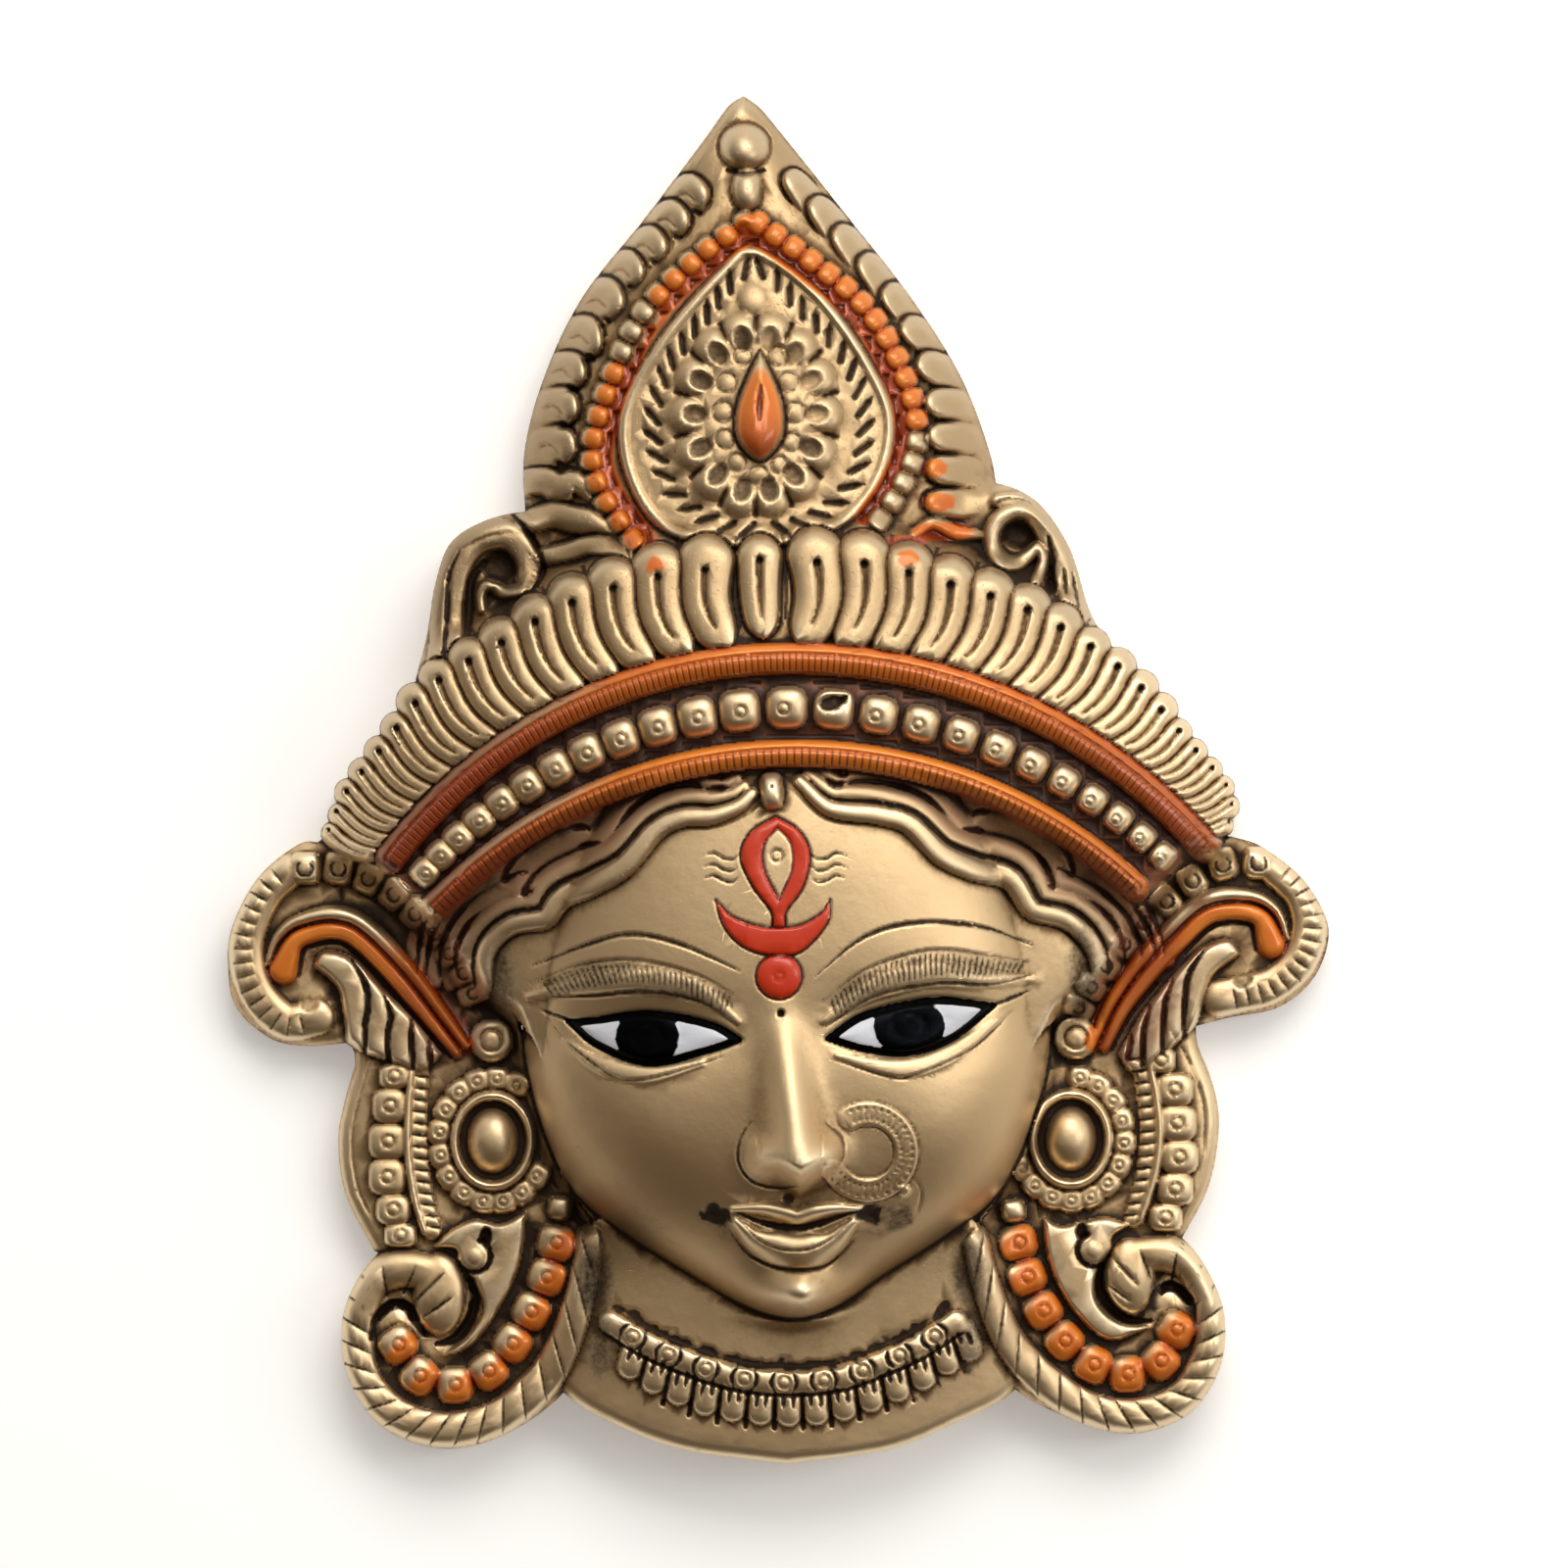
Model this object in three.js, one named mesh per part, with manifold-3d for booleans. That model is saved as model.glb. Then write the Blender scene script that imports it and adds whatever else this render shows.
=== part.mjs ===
// A cast brass wall mask: a goddess face under a tall leaf-shaped crown, hollow behind.
// It lies on its flat back rim with the face up. Millimetres: +X is to the viewer's right,
// +Y runs towards the tip of the crown and +Z comes out of the face. The rim lies at z = 0.
import * as THREE from "three";
import { mergeVertices } from "three/addons/utils/BufferGeometryUtils.js";
import Module from "manifold-3d";

const wasm = await Module();
wasm.setup();

// Driving dimensions of the casting
const WALL = 4.5; // metal between the relief's ground and the hollow behind it
const EDGE = 5; // height of the outer edge above the back rim's plane
const SUNK = 1.2; // how far the foot of an ornament is sunk into its ground
const ROOT = 3; // how far an ornament's solid reaches into the metal
const BEAD_GAP = 0.15; // height of a string between two beads, as a share of a bead's
const CROWN_TIP = 154; // y of the tip of the crown
const COLLAR = -154; // y of the lower edge of the neck
const FACE = { x: 2, y: -52, halfWidth: 59.5, down: 69.5, up: 84, ground: 16, rise: 32 };
const NOSE_TIP = { x: 5, y: -88 };

// Small tools for numbers, outlines and solids

const clamp = (value, low, high) => Math.min(high, Math.max(low, value));
const mix = (a, b, t) => a + (b - a) * t;

// A height that follows straight lines between [place, height] pairs in falling order of place.
function ramp(pairs, place) {
  if (place >= pairs[0][0]) return pairs[0][1];
  for (let i = 1; i < pairs.length; i++) {
    const [p1, h1] = pairs[i];
    const [p0, h0] = pairs[i - 1];
    if (place >= p1) return mix(h1, h0, (place - p1) / (p0 - p1));
  }
  return pairs[pairs.length - 1][1];
}

// A round swelling of the surface, as high as given at its middle.
function swell(x, y, centreX, centreY, spreadX, spreadY, height) {
  const dx = (x - centreX) / spreadX;
  const dy = (y - centreY) / spreadY;
  return height * Math.exp(-dx * dx - dy * dy);
}

function smoothPath(points) {
  return new THREE.CatmullRomCurve3(points.map(([x, y]) => new THREE.Vector3(x, y, 0)));
}

// Corner points of a closed outline: each run is a smooth line, and runs meet in corners.
function outlineOf(runs, spacing) {
  const corners = [];
  for (const run of runs) {
    const path = smoothPath(run);
    const steps = Math.max(1, Math.round(path.getLength() / spacing));
    for (let i = 0; i < steps; i++) corners.push(path.getPointAt(i / steps));
  }
  return corners.map((p) => [p.x, p.y]);
}

// A closed geometry as a solid, with its triangles turned outwards.
function solidOf(geometry) {
  geometry.deleteAttribute("normal");
  geometry.deleteAttribute("uv");
  const merged = mergeVertices(geometry, 1e-4);
  const at = merged.attributes.position.array;
  const source = merged.index.array;
  const faces = [];
  let volume = 0;
  for (let i = 0; i < source.length; i += 3) {
    const [a, b, c] = [source[i], source[i + 1], source[i + 2]];
    if (a === b || b === c || c === a) continue;
    faces.push([a, b, c]);
    const [p, q, r] = [a, b, c].map((k) => new THREE.Vector3().fromArray(at, 3 * k));
    volume += p.dot(q.cross(r));
  }
  const turned = volume < 0 ? faces.map(([a, b, c]) => [a, c, b]) : faces;
  return new wasm.Manifold(
    new wasm.Mesh({ numProp: 3, vertProperties: at, triVerts: new Uint32Array(turned.flat()) }),
  );
}

function joined(solids) {
  let list = solids;
  while (list.length > 1) {
    const next = [];
    for (let i = 0; i < list.length; i += 2) {
      next.push(i + 1 < list.length ? list[i].add(list[i + 1]) : list[i]);
    }
    list = next;
  }
  return list[0];
}

// A lathed disc whose rings are spread out from a centre to an outline: top(x, y, share) gives
// the height of its upper face, where share is 0 at the centre and 1 at the outline.
function mound(outline, centre, shares, top, bottom) {
  const profile = shares.map((share) => new THREE.Vector2(share, 1));
  profile.push(new THREE.Vector2(1, 0), new THREE.Vector2(0, 0));
  const geometry = new THREE.LatheGeometry(profile, outline.length);
  const position = geometry.attributes.position;
  for (let k = 0; k < position.count; k++) {
    const [cornerX, cornerY] = outline[Math.floor(k / profile.length) % outline.length];
    const ring = k % profile.length;
    const share = profile[ring].x;
    const x = mix(centre[0], cornerX, share);
    const y = mix(centre[1], cornerY, share);
    const z = ring < shares.length ? top(x, y, share) : bottom(x, y);
    position.setXYZ(k, x, y, z);
  }
  return solidOf(geometry);
}

// A box bent along a path: half(t) is its half width, and top(x, y, across, t) its height.
function strip(path, steps, lanes, half, top, bottom) {
  const geometry = new THREE.BoxGeometry(1, 1, 1, steps, lanes, 1);
  const position = geometry.attributes.position;
  for (let k = 0; k < position.count; k++) {
    const t = position.getX(k) + 0.5;
    const across = 2 * position.getY(k);
    const point = path.getPointAt(t);
    const along = path.getTangentAt(t);
    const x = point.x - along.y * across * half(t);
    const y = point.y + along.x * across * half(t);
    const z = position.getZ(k) > 0 ? top(x, y, across, t) : bottom(x, y);
    position.setXYZ(k, x, y, z);
  }
  return solidOf(geometry);
}

// A rounded rib on a ground, along a path. It can taper to nothing at its ends, and with a
// number of beads it swells and narrows once for each of them.
function rib(points, width, height, ground, options = {}) {
  const { pitch = 9, taperStart = 0, taperEnd = 0, beads = 0 } = options;
  const path = smoothPath(points);
  const steps = beads > 0 ? 2 * beads : Math.max(2, Math.round(path.getLength() / pitch));
  const taper = (t) =>
    Math.min(
      1,
      taperStart > 0 ? 0.25 + t / taperStart : 1,
      taperEnd > 0 ? 0.25 + (1 - t) / taperEnd : 1,
    );
  const onBead = (t) => beads === 0 || Math.round(t * steps) % 2 === 1;
  const crest = (t) => height * taper(t) * (onBead(t) ? 1 : BEAD_GAP);
  return strip(
    path,
    steps,
    2,
    (t) => (width / 2) * taper(t) * (onBead(t) ? 1 : 0.8),
    (x, y, across, t) => ground(x, y) + (across === 0 ? crest(t) : -SUNK),
    (x, y) => ground(x, y) - ROOT,
  );
}

// A bead: a low cone frustum with a flat top, oval where the two radii differ.
function bead(x, y, radiusX, radiusY, height, ground, sides = 6) {
  const geometry = new THREE.CylinderGeometry(0.62, 1, 1, sides, 1);
  geometry.rotateX(Math.PI / 2);
  geometry.translate(0, 0, 0.5);
  geometry.scale(radiusX, radiusY, height + ROOT);
  geometry.translate(x, y, ground(x, y) - ROOT);
  return solidOf(geometry);
}

// Places along a path whose steps change evenly from the first to the last.
function spacing(count, firstStep, lastStep) {
  const reached = [0];
  for (let i = 0; i < count; i++) {
    reached.push(reached[i] + mix(firstStep, lastStep, i / Math.max(1, count - 1)));
  }
  return reached.map((r) => r / reached[count]);
}

// Ground of the crown's peak: a long leaf, domed across and sinking towards its tip

const crownAxis = (y) => -3.5 - 0.045 * (y - 40);
const PEAK_HALF_WIDTH = [
  [CROWN_TIP, 0.5],
  [135, 15.8],
  [117.6, 29.4],
  [100, 42],
  [82.4, 50.4],
  [65, 54],
  [30, 56],
];
const PEAK_CREST = [
  [CROWN_TIP, 9],
  [135, 15],
  [100, 24],
  [60, 31],
  [25, 36],
];

function peakHeight(x, y) {
  const across = clamp(Math.abs(x - crownAxis(y)) / ramp(PEAK_HALF_WIDTH, y), 0, 1);
  return EDGE + (ramp(PEAK_CREST, y) - EDGE) * Math.sqrt(1 - across * across);
}

const PEAK_LEFT = [
  [-8.2, 154],
  [-16.7, 144],
  [-30, 126.4],
  [-44, 108.8],
  [-52.6, 91],
  [-57.2, 73.6],
  [-56.8, 58],
];
const PEAK_RIGHT = [
  [49.3, 64],
  [47.7, 73.6],
  [41, 91],
  [29.7, 108.8],
  [16, 126.4],
  [2, 144],
  [-6, 154],
];

// Ground of the tiara: it wraps round the brow, so it falls away to both sides

const TIARA_TOP = { x: 3, y: 26.8, leftRadius: 113, rightRadius: 123 };
const BEAD_ROW = { x: 3, y: 15.8, leftRadius: 110, rightRadius: 121 };
const LOWER_BAND = { x: 4, y: 5.6, leftRadius: 112, rightRadius: 111 };
const TIARA_HALF_WIDTH = 104;
const TIARA_FRONT = 43;
const TIARA_SIDE = 10;
const PETAL_RISE = 3;

// The y of an arc at x: its two halves leave the crest at the same height on unlike radii.
function arcY(arc, x) {
  const radius = x < arc.x ? arc.leftRadius : arc.rightRadius;
  const across = x - arc.x;
  return arc.y - radius + Math.sqrt(Math.max(0, radius * radius - across * across));
}

function tiaraHeight(x, y) {
  const across = clamp((x - 2) / TIARA_HALF_WIDTH, -1, 1);
  const above = Math.max(0, y - arcY(TIARA_TOP, x) - 3);
  const wrapped = (TIARA_FRONT - TIARA_SIDE) * Math.sqrt(1 - across * across);
  return TIARA_SIDE + wrapped - 0.26 * above * Math.sqrt(1 - across * across);
}

function arcPoints(arc, fromX, toX, count) {
  return Array.from({ length: count }, (_, i) => {
    const x = mix(fromX, toX, i / (count - 1));
    return [x, arcY(arc, x)];
  });
}

// Ground of the side ornaments, the neck and the head between them

const wingHeight = (x) => 12.8 - 0.08 * (Math.abs(x) - 60);

function headHeight(x, y) {
  const dx = (x - 2) / 80;
  const dy = (y + 30) / 80;
  return 11 + 24 * Math.sqrt(Math.max(0, 1 - dx * dx - dy * dy));
}

function neckHeight(x, y) {
  const across = clamp((x - 2) / 56, -1, 1);
  return 9 + 11 * Math.sqrt(1 - across * across) + 0.08 * (y + 150);
}

// Ground of the face: an egg-shaped dome with nose, brows, sockets, cheeks, lips and chin

function faceHeight(x, y) {
  const dx = (x - FACE.x) / FACE.halfWidth;
  const dy = (y - FACE.y) / (y < FACE.y ? FACE.down : FACE.up);
  const reach = Math.min(1, Math.hypot(dx, dy));
  const dome = FACE.ground + FACE.rise * Math.pow(1 - Math.pow(reach, 2.6), 0.55);
  const down = clamp((-52 - y) / (-52 - NOSE_TIP.y), 0, 1);
  const ridgeX = mix(0.6, NOSE_TIP.x, down);
  const ridgeHalf = mix(4.5, 7.5, down);
  const past = clamp((NOSE_TIP.y + 1 - y) / 4, 0, 1);
  const bridge = mix(1.5, 14.5, Math.pow(down, 1.25)) * clamp((-44 - y) / 12, 0, 1);
  const nose = bridge * Math.exp(-Math.pow((x - ridgeX) / ridgeHalf, 2)) * (1 - past);
  return (
    dome +
    nose +
    swell(x, y, -5, -84.5, 4, 5, 4.5) +
    swell(x, y, 12.5, -83.5, 4, 5, 4.5) +
    swell(x, y, -30, -56, 21, 8, -3.2) +
    swell(x, y, 32, -54, 21, 8, -3.2) +
    swell(x, y, -30, -82, 16, 14, 2) +
    swell(x, y, 38, -80, 16, 14, 2) +
    swell(x, y, 4, -98, 12, 2.4, 3.2) +
    swell(x, y, 3.5, -105, 10, 3, 5) +
    swell(x, y, 3.5, -101, 13, 1.1, -2.2) +
    swell(x, y, 4, -114, 13, 6, 8)
  );
}

// The peak is one leaf: rings around its middle carry, from the edge inwards, curled flames, a
// string of beads, a channel, a hatched band and a rosette with a drop at its centre.
const PEAK_MIDDLE = [-4.2, 80];
const PEAK_SPOKES = 42;
const LOBE_SPOKES = 3;
const PEAK_RINGS = [
  { share: 0, relief: () => 8 },
  { share: 0.13, relief: () => 4.5 },
  { share: 0.28, relief: () => 3.4 },
  { share: 0.37, relief: (spoke) => (spoke % LOBE_SPOKES ? 2.6 : 0) },
  { share: 0.44, relief: () => -0.4 },
  { share: 0.58, relief: () => 2.2 },
  { share: 0.655, relief: () => -1 },
  { share: 0.71, relief: (spoke) => (spoke % 2 ? 2.4 : 0.8) },
  { share: 0.77, relief: () => -0.4 },
  { share: 0.9, relief: (spoke) => (spoke % 2 ? 3 : 0.8) },
  { share: 1, relief: () => 0 },
];

function peak() {
  const foot = [PEAK_LEFT[6], [-48, 34], [-3, 24], [42, 34], PEAK_RIGHT[0]];
  const whole = outlineOf([PEAK_LEFT, foot, PEAK_RIGHT], 1);
  const spokes = PEAK_SPOKES;
  const outline = Array.from({ length: spokes }, (_, i) => whole[Math.round((i * whole.length) / spokes)]);
  const profile = PEAK_RINGS.map((ring) => new THREE.Vector2(ring.share, 1));
  profile.push(new THREE.Vector2(1, 0), new THREE.Vector2(0, 0));
  const geometry = new THREE.LatheGeometry(profile, spokes);
  const position = geometry.attributes.position;
  for (let k = 0; k < position.count; k++) {
    const spoke = Math.floor(k / profile.length) % spokes;
    const ring = k % profile.length;
    const x = mix(PEAK_MIDDLE[0], outline[spoke][0], profile[ring].x);
    const y = mix(PEAK_MIDDLE[1], outline[spoke][1], profile[ring].x);
    const raised = ring < PEAK_RINGS.length;
    position.setXYZ(k, x, y, raised ? peakHeight(x, y) + PEAK_RINGS[ring].relief(spoke) : 0);
  }
  return solidOf(geometry);
}

// The two rows of petals on the tiara

const tiaraPetalTips = {
  left: [
    [-4, 53],
    [-26.8, 50],
    [-47.6, 43.3],
    [-63.4, 34],
    [-78.6, 24.4],
    [-89.5, 10.8],
    [-98.4, -0.6],
    [-102.6, -9.8],
  ],
  right: [
    [-4, 53],
    [17.5, 53],
    [38, 48],
    [56, 42],
    [71, 33],
    [82, 24],
    [93.6, 10.6],
    [103, -1.2],
    [102, -12],
  ],
};
const tiaraPetalFeet = {
  left: [
    [-3, 31.5],
    [-22, 28.3],
    [-44.8, 20],
    [-66, 7.2],
    [-83.2, -8],
    [-91, -16],
  ],
  right: [
    [-3, 31.5],
    [18, 29.5],
    [43.3, 23.6],
    [63.5, 14.8],
    [83, 1.8],
    [97, -13.2],
  ],
};

// Half of the row: a strip from the petals' feet to their tips that rises along each petal and
// sinks between two of them, where it is also drawn back from the tips.
function petalRow(tips, feet, count, firstStep, lastStep) {
  const rows = [0, 0.86, 1];
  const geometry = new THREE.BoxGeometry(1, 1, 1, 2 * count, rows.length - 1, 1);
  const position = geometry.attributes.position;
  const tipPath = smoothPath(tips);
  const footPath = smoothPath(feet);
  const places = spacing(2 * count, firstStep, lastStep);
  for (let k = 0; k < position.count; k++) {
    const column = Math.round((position.getX(k) + 0.5) * 2 * count);
    const row = Math.round((position.getY(k) + 0.5) * (rows.length - 1));
    const ridge = column % 2 === 1;
    const tip = tipPath.getPointAt(places[column]);
    const foot = footPath.getPointAt(places[column]);
    const up = rows[row] - (row === rows.length - 1 && !ridge ? 0.07 : 0);
    const point = foot.lerp(tip, up);
    const relief = (ridge ? PETAL_RISE : -0.4) - (row === rows.length - 1 ? 2.6 : 0);
    const ground = tiaraHeight(point.x, point.y);
    position.setXYZ(k, point.x, point.y, position.getZ(k) > 0 ? ground + relief : 0);
  }
  return solidOf(geometry);
}

// The lower part of the tiara: one strip with, from below, a ticked band, a channel, the row of
// beads, another channel and the upper ticked band. Its lowest lane passes under the brow.
const ROW_BEADS = 24;
const BAND_LANES = [
  { arc: 0, out: -3.4, relief: () => -1.5 },
  { arc: 0, out: 0, relief: () => 3.6 },
  { arc: 1, out: -4, relief: () => -0.4 },
  { arc: 1, out: 0, relief: (onBead) => (onBead ? 3 : 0.3) },
  { arc: 1, out: 5, relief: () => -0.4 },
  { arc: 2, out: 0, relief: () => 3.4 },
  { arc: 2, out: 4, relief: () => -1 },
];
const BAND_ENDS = [
  [-80, 83],
  [-81, 87],
  [-89, 98],
];

function tiaraBand() {
  const arcs = [LOWER_BAND, BEAD_ROW, TIARA_TOP];
  const columns = 2 * ROW_BEADS;
  const geometry = new THREE.BoxGeometry(1, 1, 1, columns, BAND_LANES.length - 1, 1);
  const position = geometry.attributes.position;
  const paths = arcs.map((arc, i) => smoothPath(arcPoints(arc, ...BAND_ENDS[i], 15)));
  for (let k = 0; k < position.count; k++) {
    const column = Math.round((position.getX(k) + 0.5) * columns);
    const lane = BAND_LANES[Math.round((position.getY(k) + 0.5) * (BAND_LANES.length - 1))];
    const path = paths[lane.arc];
    const point = path.getPointAt(column / columns);
    const along = path.getTangentAt(column / columns);
    const x = point.x - along.y * lane.out;
    const y = point.y + along.x * lane.out;
    const top = tiaraHeight(x, y) + lane.relief(column % 2 === 1);
    position.setXYZ(k, x, y, position.getZ(k) > 0 ? top : 0);
  }
  const { left, right } = tiaraPetalTips;
  return [
    solidOf(geometry),
    petalRow(left, tiaraPetalFeet.left, 15, 12, 5),
    petalRow(right, tiaraPetalFeet.right, 18, 12, 4),
  ];
}

// The hollow behind the tiara, drawn in from its ends and from the petals' tips
function tiaraHollow() {
  const rows = [
    [-66, 72, LOWER_BAND, -4],
    [-80, 86, TIARA_TOP, 4],
    [-46, 48, TIARA_TOP, 14],
  ];
  const geometry = new THREE.BoxGeometry(1, 1, 1, 10, rows.length - 1, 1);
  const position = geometry.attributes.position;
  for (let k = 0; k < position.count; k++) {
    const [fromX, toX, arc, out] = rows[Math.round((position.getY(k) + 0.5) * 2)];
    const x = mix(fromX, toX, position.getX(k) + 0.5);
    const y = arcY(arc, x) + out;
    position.setXYZ(k, x, y, position.getZ(k) > 0 ? tiaraHeight(x, y) - WALL - 0.5 : -10);
  }
  return solidOf(geometry);
}

const FACE_SHARES = [0, 0.06, 0.12, 0.19, 0.27, 0.38, 0.54, 0.72, 0.9, 1];

function faceOutline(inset, count) {
  return Array.from({ length: count }, (_, i) => {
    const turn = (i / count) * 2 * Math.PI;
    const up = Math.cos(turn) > 0 ? 57 : FACE.down;
    const x = FACE.x + (FACE.halfWidth - inset) * Math.sin(turn);
    return [x, FACE.y + (up - inset) * Math.cos(turn)];
  });
}

const HEAD_RUNS = [
  [
    [-72, -30],
    [-40, 14],
    [3, 28],
    [44, 14],
    [74, -28],
    [70, -62],
    [60, -98],
    [40, -112],
    [2, -116],
    [-38, -112],
    [-58, -98],
    [-68, -62],
  ],
];

const NECK_RUNS = [
  [
    [-53, -128],
    [-48.4, -138],
    [-36.2, -145.4],
    [-21, -150.9],
    [2, COLLAR],
    [24.8, -150.8],
    [40, -144.8],
    [53, -137.8],
    [56, -128],
  ],
  [
    [56, -128],
    [45, -100],
    [2, -92],
    [-42, -100],
  ],
];

// The outer edges of the fish-tail curls that end the tiara
const TAIL_LEFT_RUNS = [
  [
    [-102.6, -13.6],
    [-108, -14.7],
    [-117, -22],
    [-123, -33],
    [-124.3, -42],
    [-122.3, -51.5],
    [-114.5, -58.6],
    [-106, -60.3],
    [-97.4, -59.6],
  ],
  [
    [-97.4, -59.6],
    [-95.6, -61.5],
    [-95.4, -68],
  ],
  [
    [-95.4, -68],
    [-66, -72],
    [-58, -56],
    [-70, -30],
    [-86, -14],
  ],
];
const TAIL_RIGHT_RUNS = [
  [
    [102, -13],
    [109, -15.3],
    [118, -22.4],
    [123.8, -31.5],
    [124, -38.5],
    [120, -46],
    [112.6, -51.7],
    [102, -53.8],
    [94.2, -55.8],
  ],
  [
    [94.2, -55.8],
    [94.6, -60],
    [97.6, -68],
  ],
  [
    [97.6, -68],
    [68, -72],
    [60, -56],
    [72, -30],
    [88, -14],
  ],
];

// The ear plates with their discs
const EAR_LEFT_RUNS = [
  [
    [-94.6, -62],
    [-97.8, -73],
    [-99.2, -82],
    [-97.4, -94],
    [-91, -106.5],
  ],
  [
    [-91, -106.5],
    [-70, -112],
    [-48, -104],
    [-46, -80],
    [-56, -58],
    [-76, -54],
  ],
];
const EAR_RIGHT_RUNS = [
  [
    [91, -55],
    [95.5, -62.5],
    [98.8, -72],
    [99.2, -81],
    [96.8, -92.5],
    [90.8, -104],
  ],
  [
    [90.8, -104],
    [72, -112],
    [50, -104],
    [48, -80],
    [56, -58],
    [72, -52],
  ],
];

// The hanging tassels below them
const TASSEL_LEFT_RUNS = [
  [
    [-89, -105.5],
    [-94.6, -112.5],
    [-98.2, -122],
    [-97.2, -134],
    [-89.5, -145.8],
    [-76, -150.9],
    [-62, -147.9],
    [-48, -137.8],
    [-41.6, -122.7],
    [-38.6, -106],
  ],
  [
    [-38.6, -106],
    [-52, -94],
    [-76, -94],
  ],
];
const TASSEL_RIGHT_RUNS = [
  [
    [89, -101.5],
    [95.4, -108.5],
    [100.4, -120],
    [99.6, -132.5],
    [92.4, -143.2],
    [79, -147.6],
    [64, -143.4],
    [51, -135],
    [43, -117],
    [41, -103],
  ],
  [
    [41, -103],
    [54, -92],
    [78, -92],
  ],
];

// The hooked scrolls between the peak and the tiara
const HOOK_LEFT_RUNS = [
  [
    [-50, 58],
    [-56, 60],
    [-65, 58.3],
    [-73.4, 53.2],
    [-77, 44],
    [-79, 32],
    [-81.4, 22],
  ],
  [
    [-81.4, 22],
    [-60, 20],
    [-40, 34],
  ],
];
const HOOK_RIGHT_RUNS = [
  [
    [44, 66],
    [50, 66.3],
    [58.4, 62],
    [65.6, 51.5],
    [70.3, 36.6],
    [76, 28],
  ],
  [
    [76, 28],
    [60, 26],
    [38, 40],
  ],
];

const hookHeight = (x, y) => 21 - 0.12 * (Math.abs(x) - 55) - 0.1 * (y - 40);
// A plate's top sinks from its middle to its outline by these amounts.
const PLATE_SHARES = [0, 0.9, 1];
const PLATE_DROP = [0, 1, 4.5];
const plateTop = (ground) => (x, y, share) => ground(x, y) - PLATE_DROP[PLATE_SHARES.indexOf(share)];
const onRim = () => 0;

const PLATE_SPACING = 10;

function plate(runs, centre, ground) {
  return mound(outlineOf(runs, PLATE_SPACING), centre, PLATE_SHARES, plateTop(ground), onRim);
}

const neckTop = (x, y, share) => neckHeight(x, y) - (share === 1 ? 4 : 0);

// The casting's bodies: peak, tiara, head, face, neck and the plates at both sides
function bodies() {
  return [
    peak(),
    ...tiaraBand(),
    mound(outlineOf(HEAD_RUNS, 20), [2, -45], [0, 0.8, 1], headHeight, onRim),
    mound(faceOutline(0, 30), [NOSE_TIP.x - 1, NOSE_TIP.y + 1], FACE_SHARES, faceHeight, onRim),
    mound(outlineOf(NECK_RUNS, 9), [2, -124], [0, 0.92, 1], neckTop, onRim),
    plate(TAIL_LEFT_RUNS, [-94, -42], wingHeight),
    plate(TAIL_RIGHT_RUNS, [95, -40], wingHeight),
    plate(EAR_LEFT_RUNS, [-74, -82], wingHeight),
    plate(EAR_RIGHT_RUNS, [75, -81], wingHeight),
    plate(TASSEL_LEFT_RUNS, [-68, -118], wingHeight),
    plate(TASSEL_RIGHT_RUNS, [70, -116], wingHeight),
    plate(HOOK_LEFT_RUNS, [-60, 40], hookHeight),
    plate(HOOK_RIGHT_RUNS, [56, 46], hookHeight),
  ];
}

// The hollow behind: each body's ground again, lower by the wall and drawn in by the rim

function hollows() {
  const below = (ground) => (x, y) => ground(x, y) - WALL;
  const under = () => -10;
  const peak = [
    [
      [-7.5, 136],
      [-34, 104],
      [-46, 78],
      [-44, 54],
      [-34, 30],
    ],
    [
      [-34, 30],
      [28, 30],
    ],
    [
      [28, 30],
      [38, 54],
      [39, 78],
      [22, 104],
    ],
  ];
  const head = [
    [
      [-62, -20],
      [-30, 16],
      [3, 22],
      [34, 16],
      [66, -20],
      [60, -60],
      [46, -92],
      [2, -104],
      [-42, -92],
      [-56, -60],
    ],
  ];
  const neck = [
    [
      [-44, -122],
      [-40, -135],
      [-20, -144],
      [2, -147],
      [24, -144],
      [42, -136],
      [48, -122],
      [30, -100],
      [-28, -100],
    ],
  ];
  return [
    mound(outlineOf(peak, 24), [-4, 76], [0, 0.6, 1], below(peakHeight), under),
    tiaraHollow(),
    mound(outlineOf(head, 26), [2, -42], [0, 0.7, 1], below(headHeight), under),
    mound(faceOutline(WALL + 0.5, 16), [2, -60], [0, 0.5, 0.8, 1], below(smoothFace), under),
    mound(outlineOf(neck, 18), [2, -122], [0, 0.6, 1], below(neckHeight), under),
  ];
}

// The inner face has no features, only the dome and a hollow for the nose.
function smoothFace(x, y) {
  const dx = (x - FACE.x) / (FACE.halfWidth - WALL);
  const dy = (y - FACE.y) / (y < FACE.y ? FACE.down - WALL : FACE.up);
  const reach = Math.min(1, Math.hypot(dx, dy));
  const dome = FACE.ground + (FACE.rise - 2) * Math.pow(1 - Math.pow(reach, 2.6), 0.55);
  return dome + swell(x, y, NOSE_TIP.x, NOSE_TIP.y + 4, 9, 14, 7);
}

// Ornaments at the sides

function tailOrnaments(side) {
  return [
    rib(side.border, 8, 2.4, wingHeight, { pitch: 16 }),
    rib(side.crescent, 8, 3.2, wingHeight, { pitch: 12, taperEnd: 0.6 }),
    ...side.feathers.map((feather) => rib(feather, 6.5, 2.4, wingHeight, { pitch: 14, taperEnd: 0.4 })),
    bead(side.rosette[0], side.rosette[1], 5.4, 5.4, 5, wingHeight, 6),
  ];
}

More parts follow.
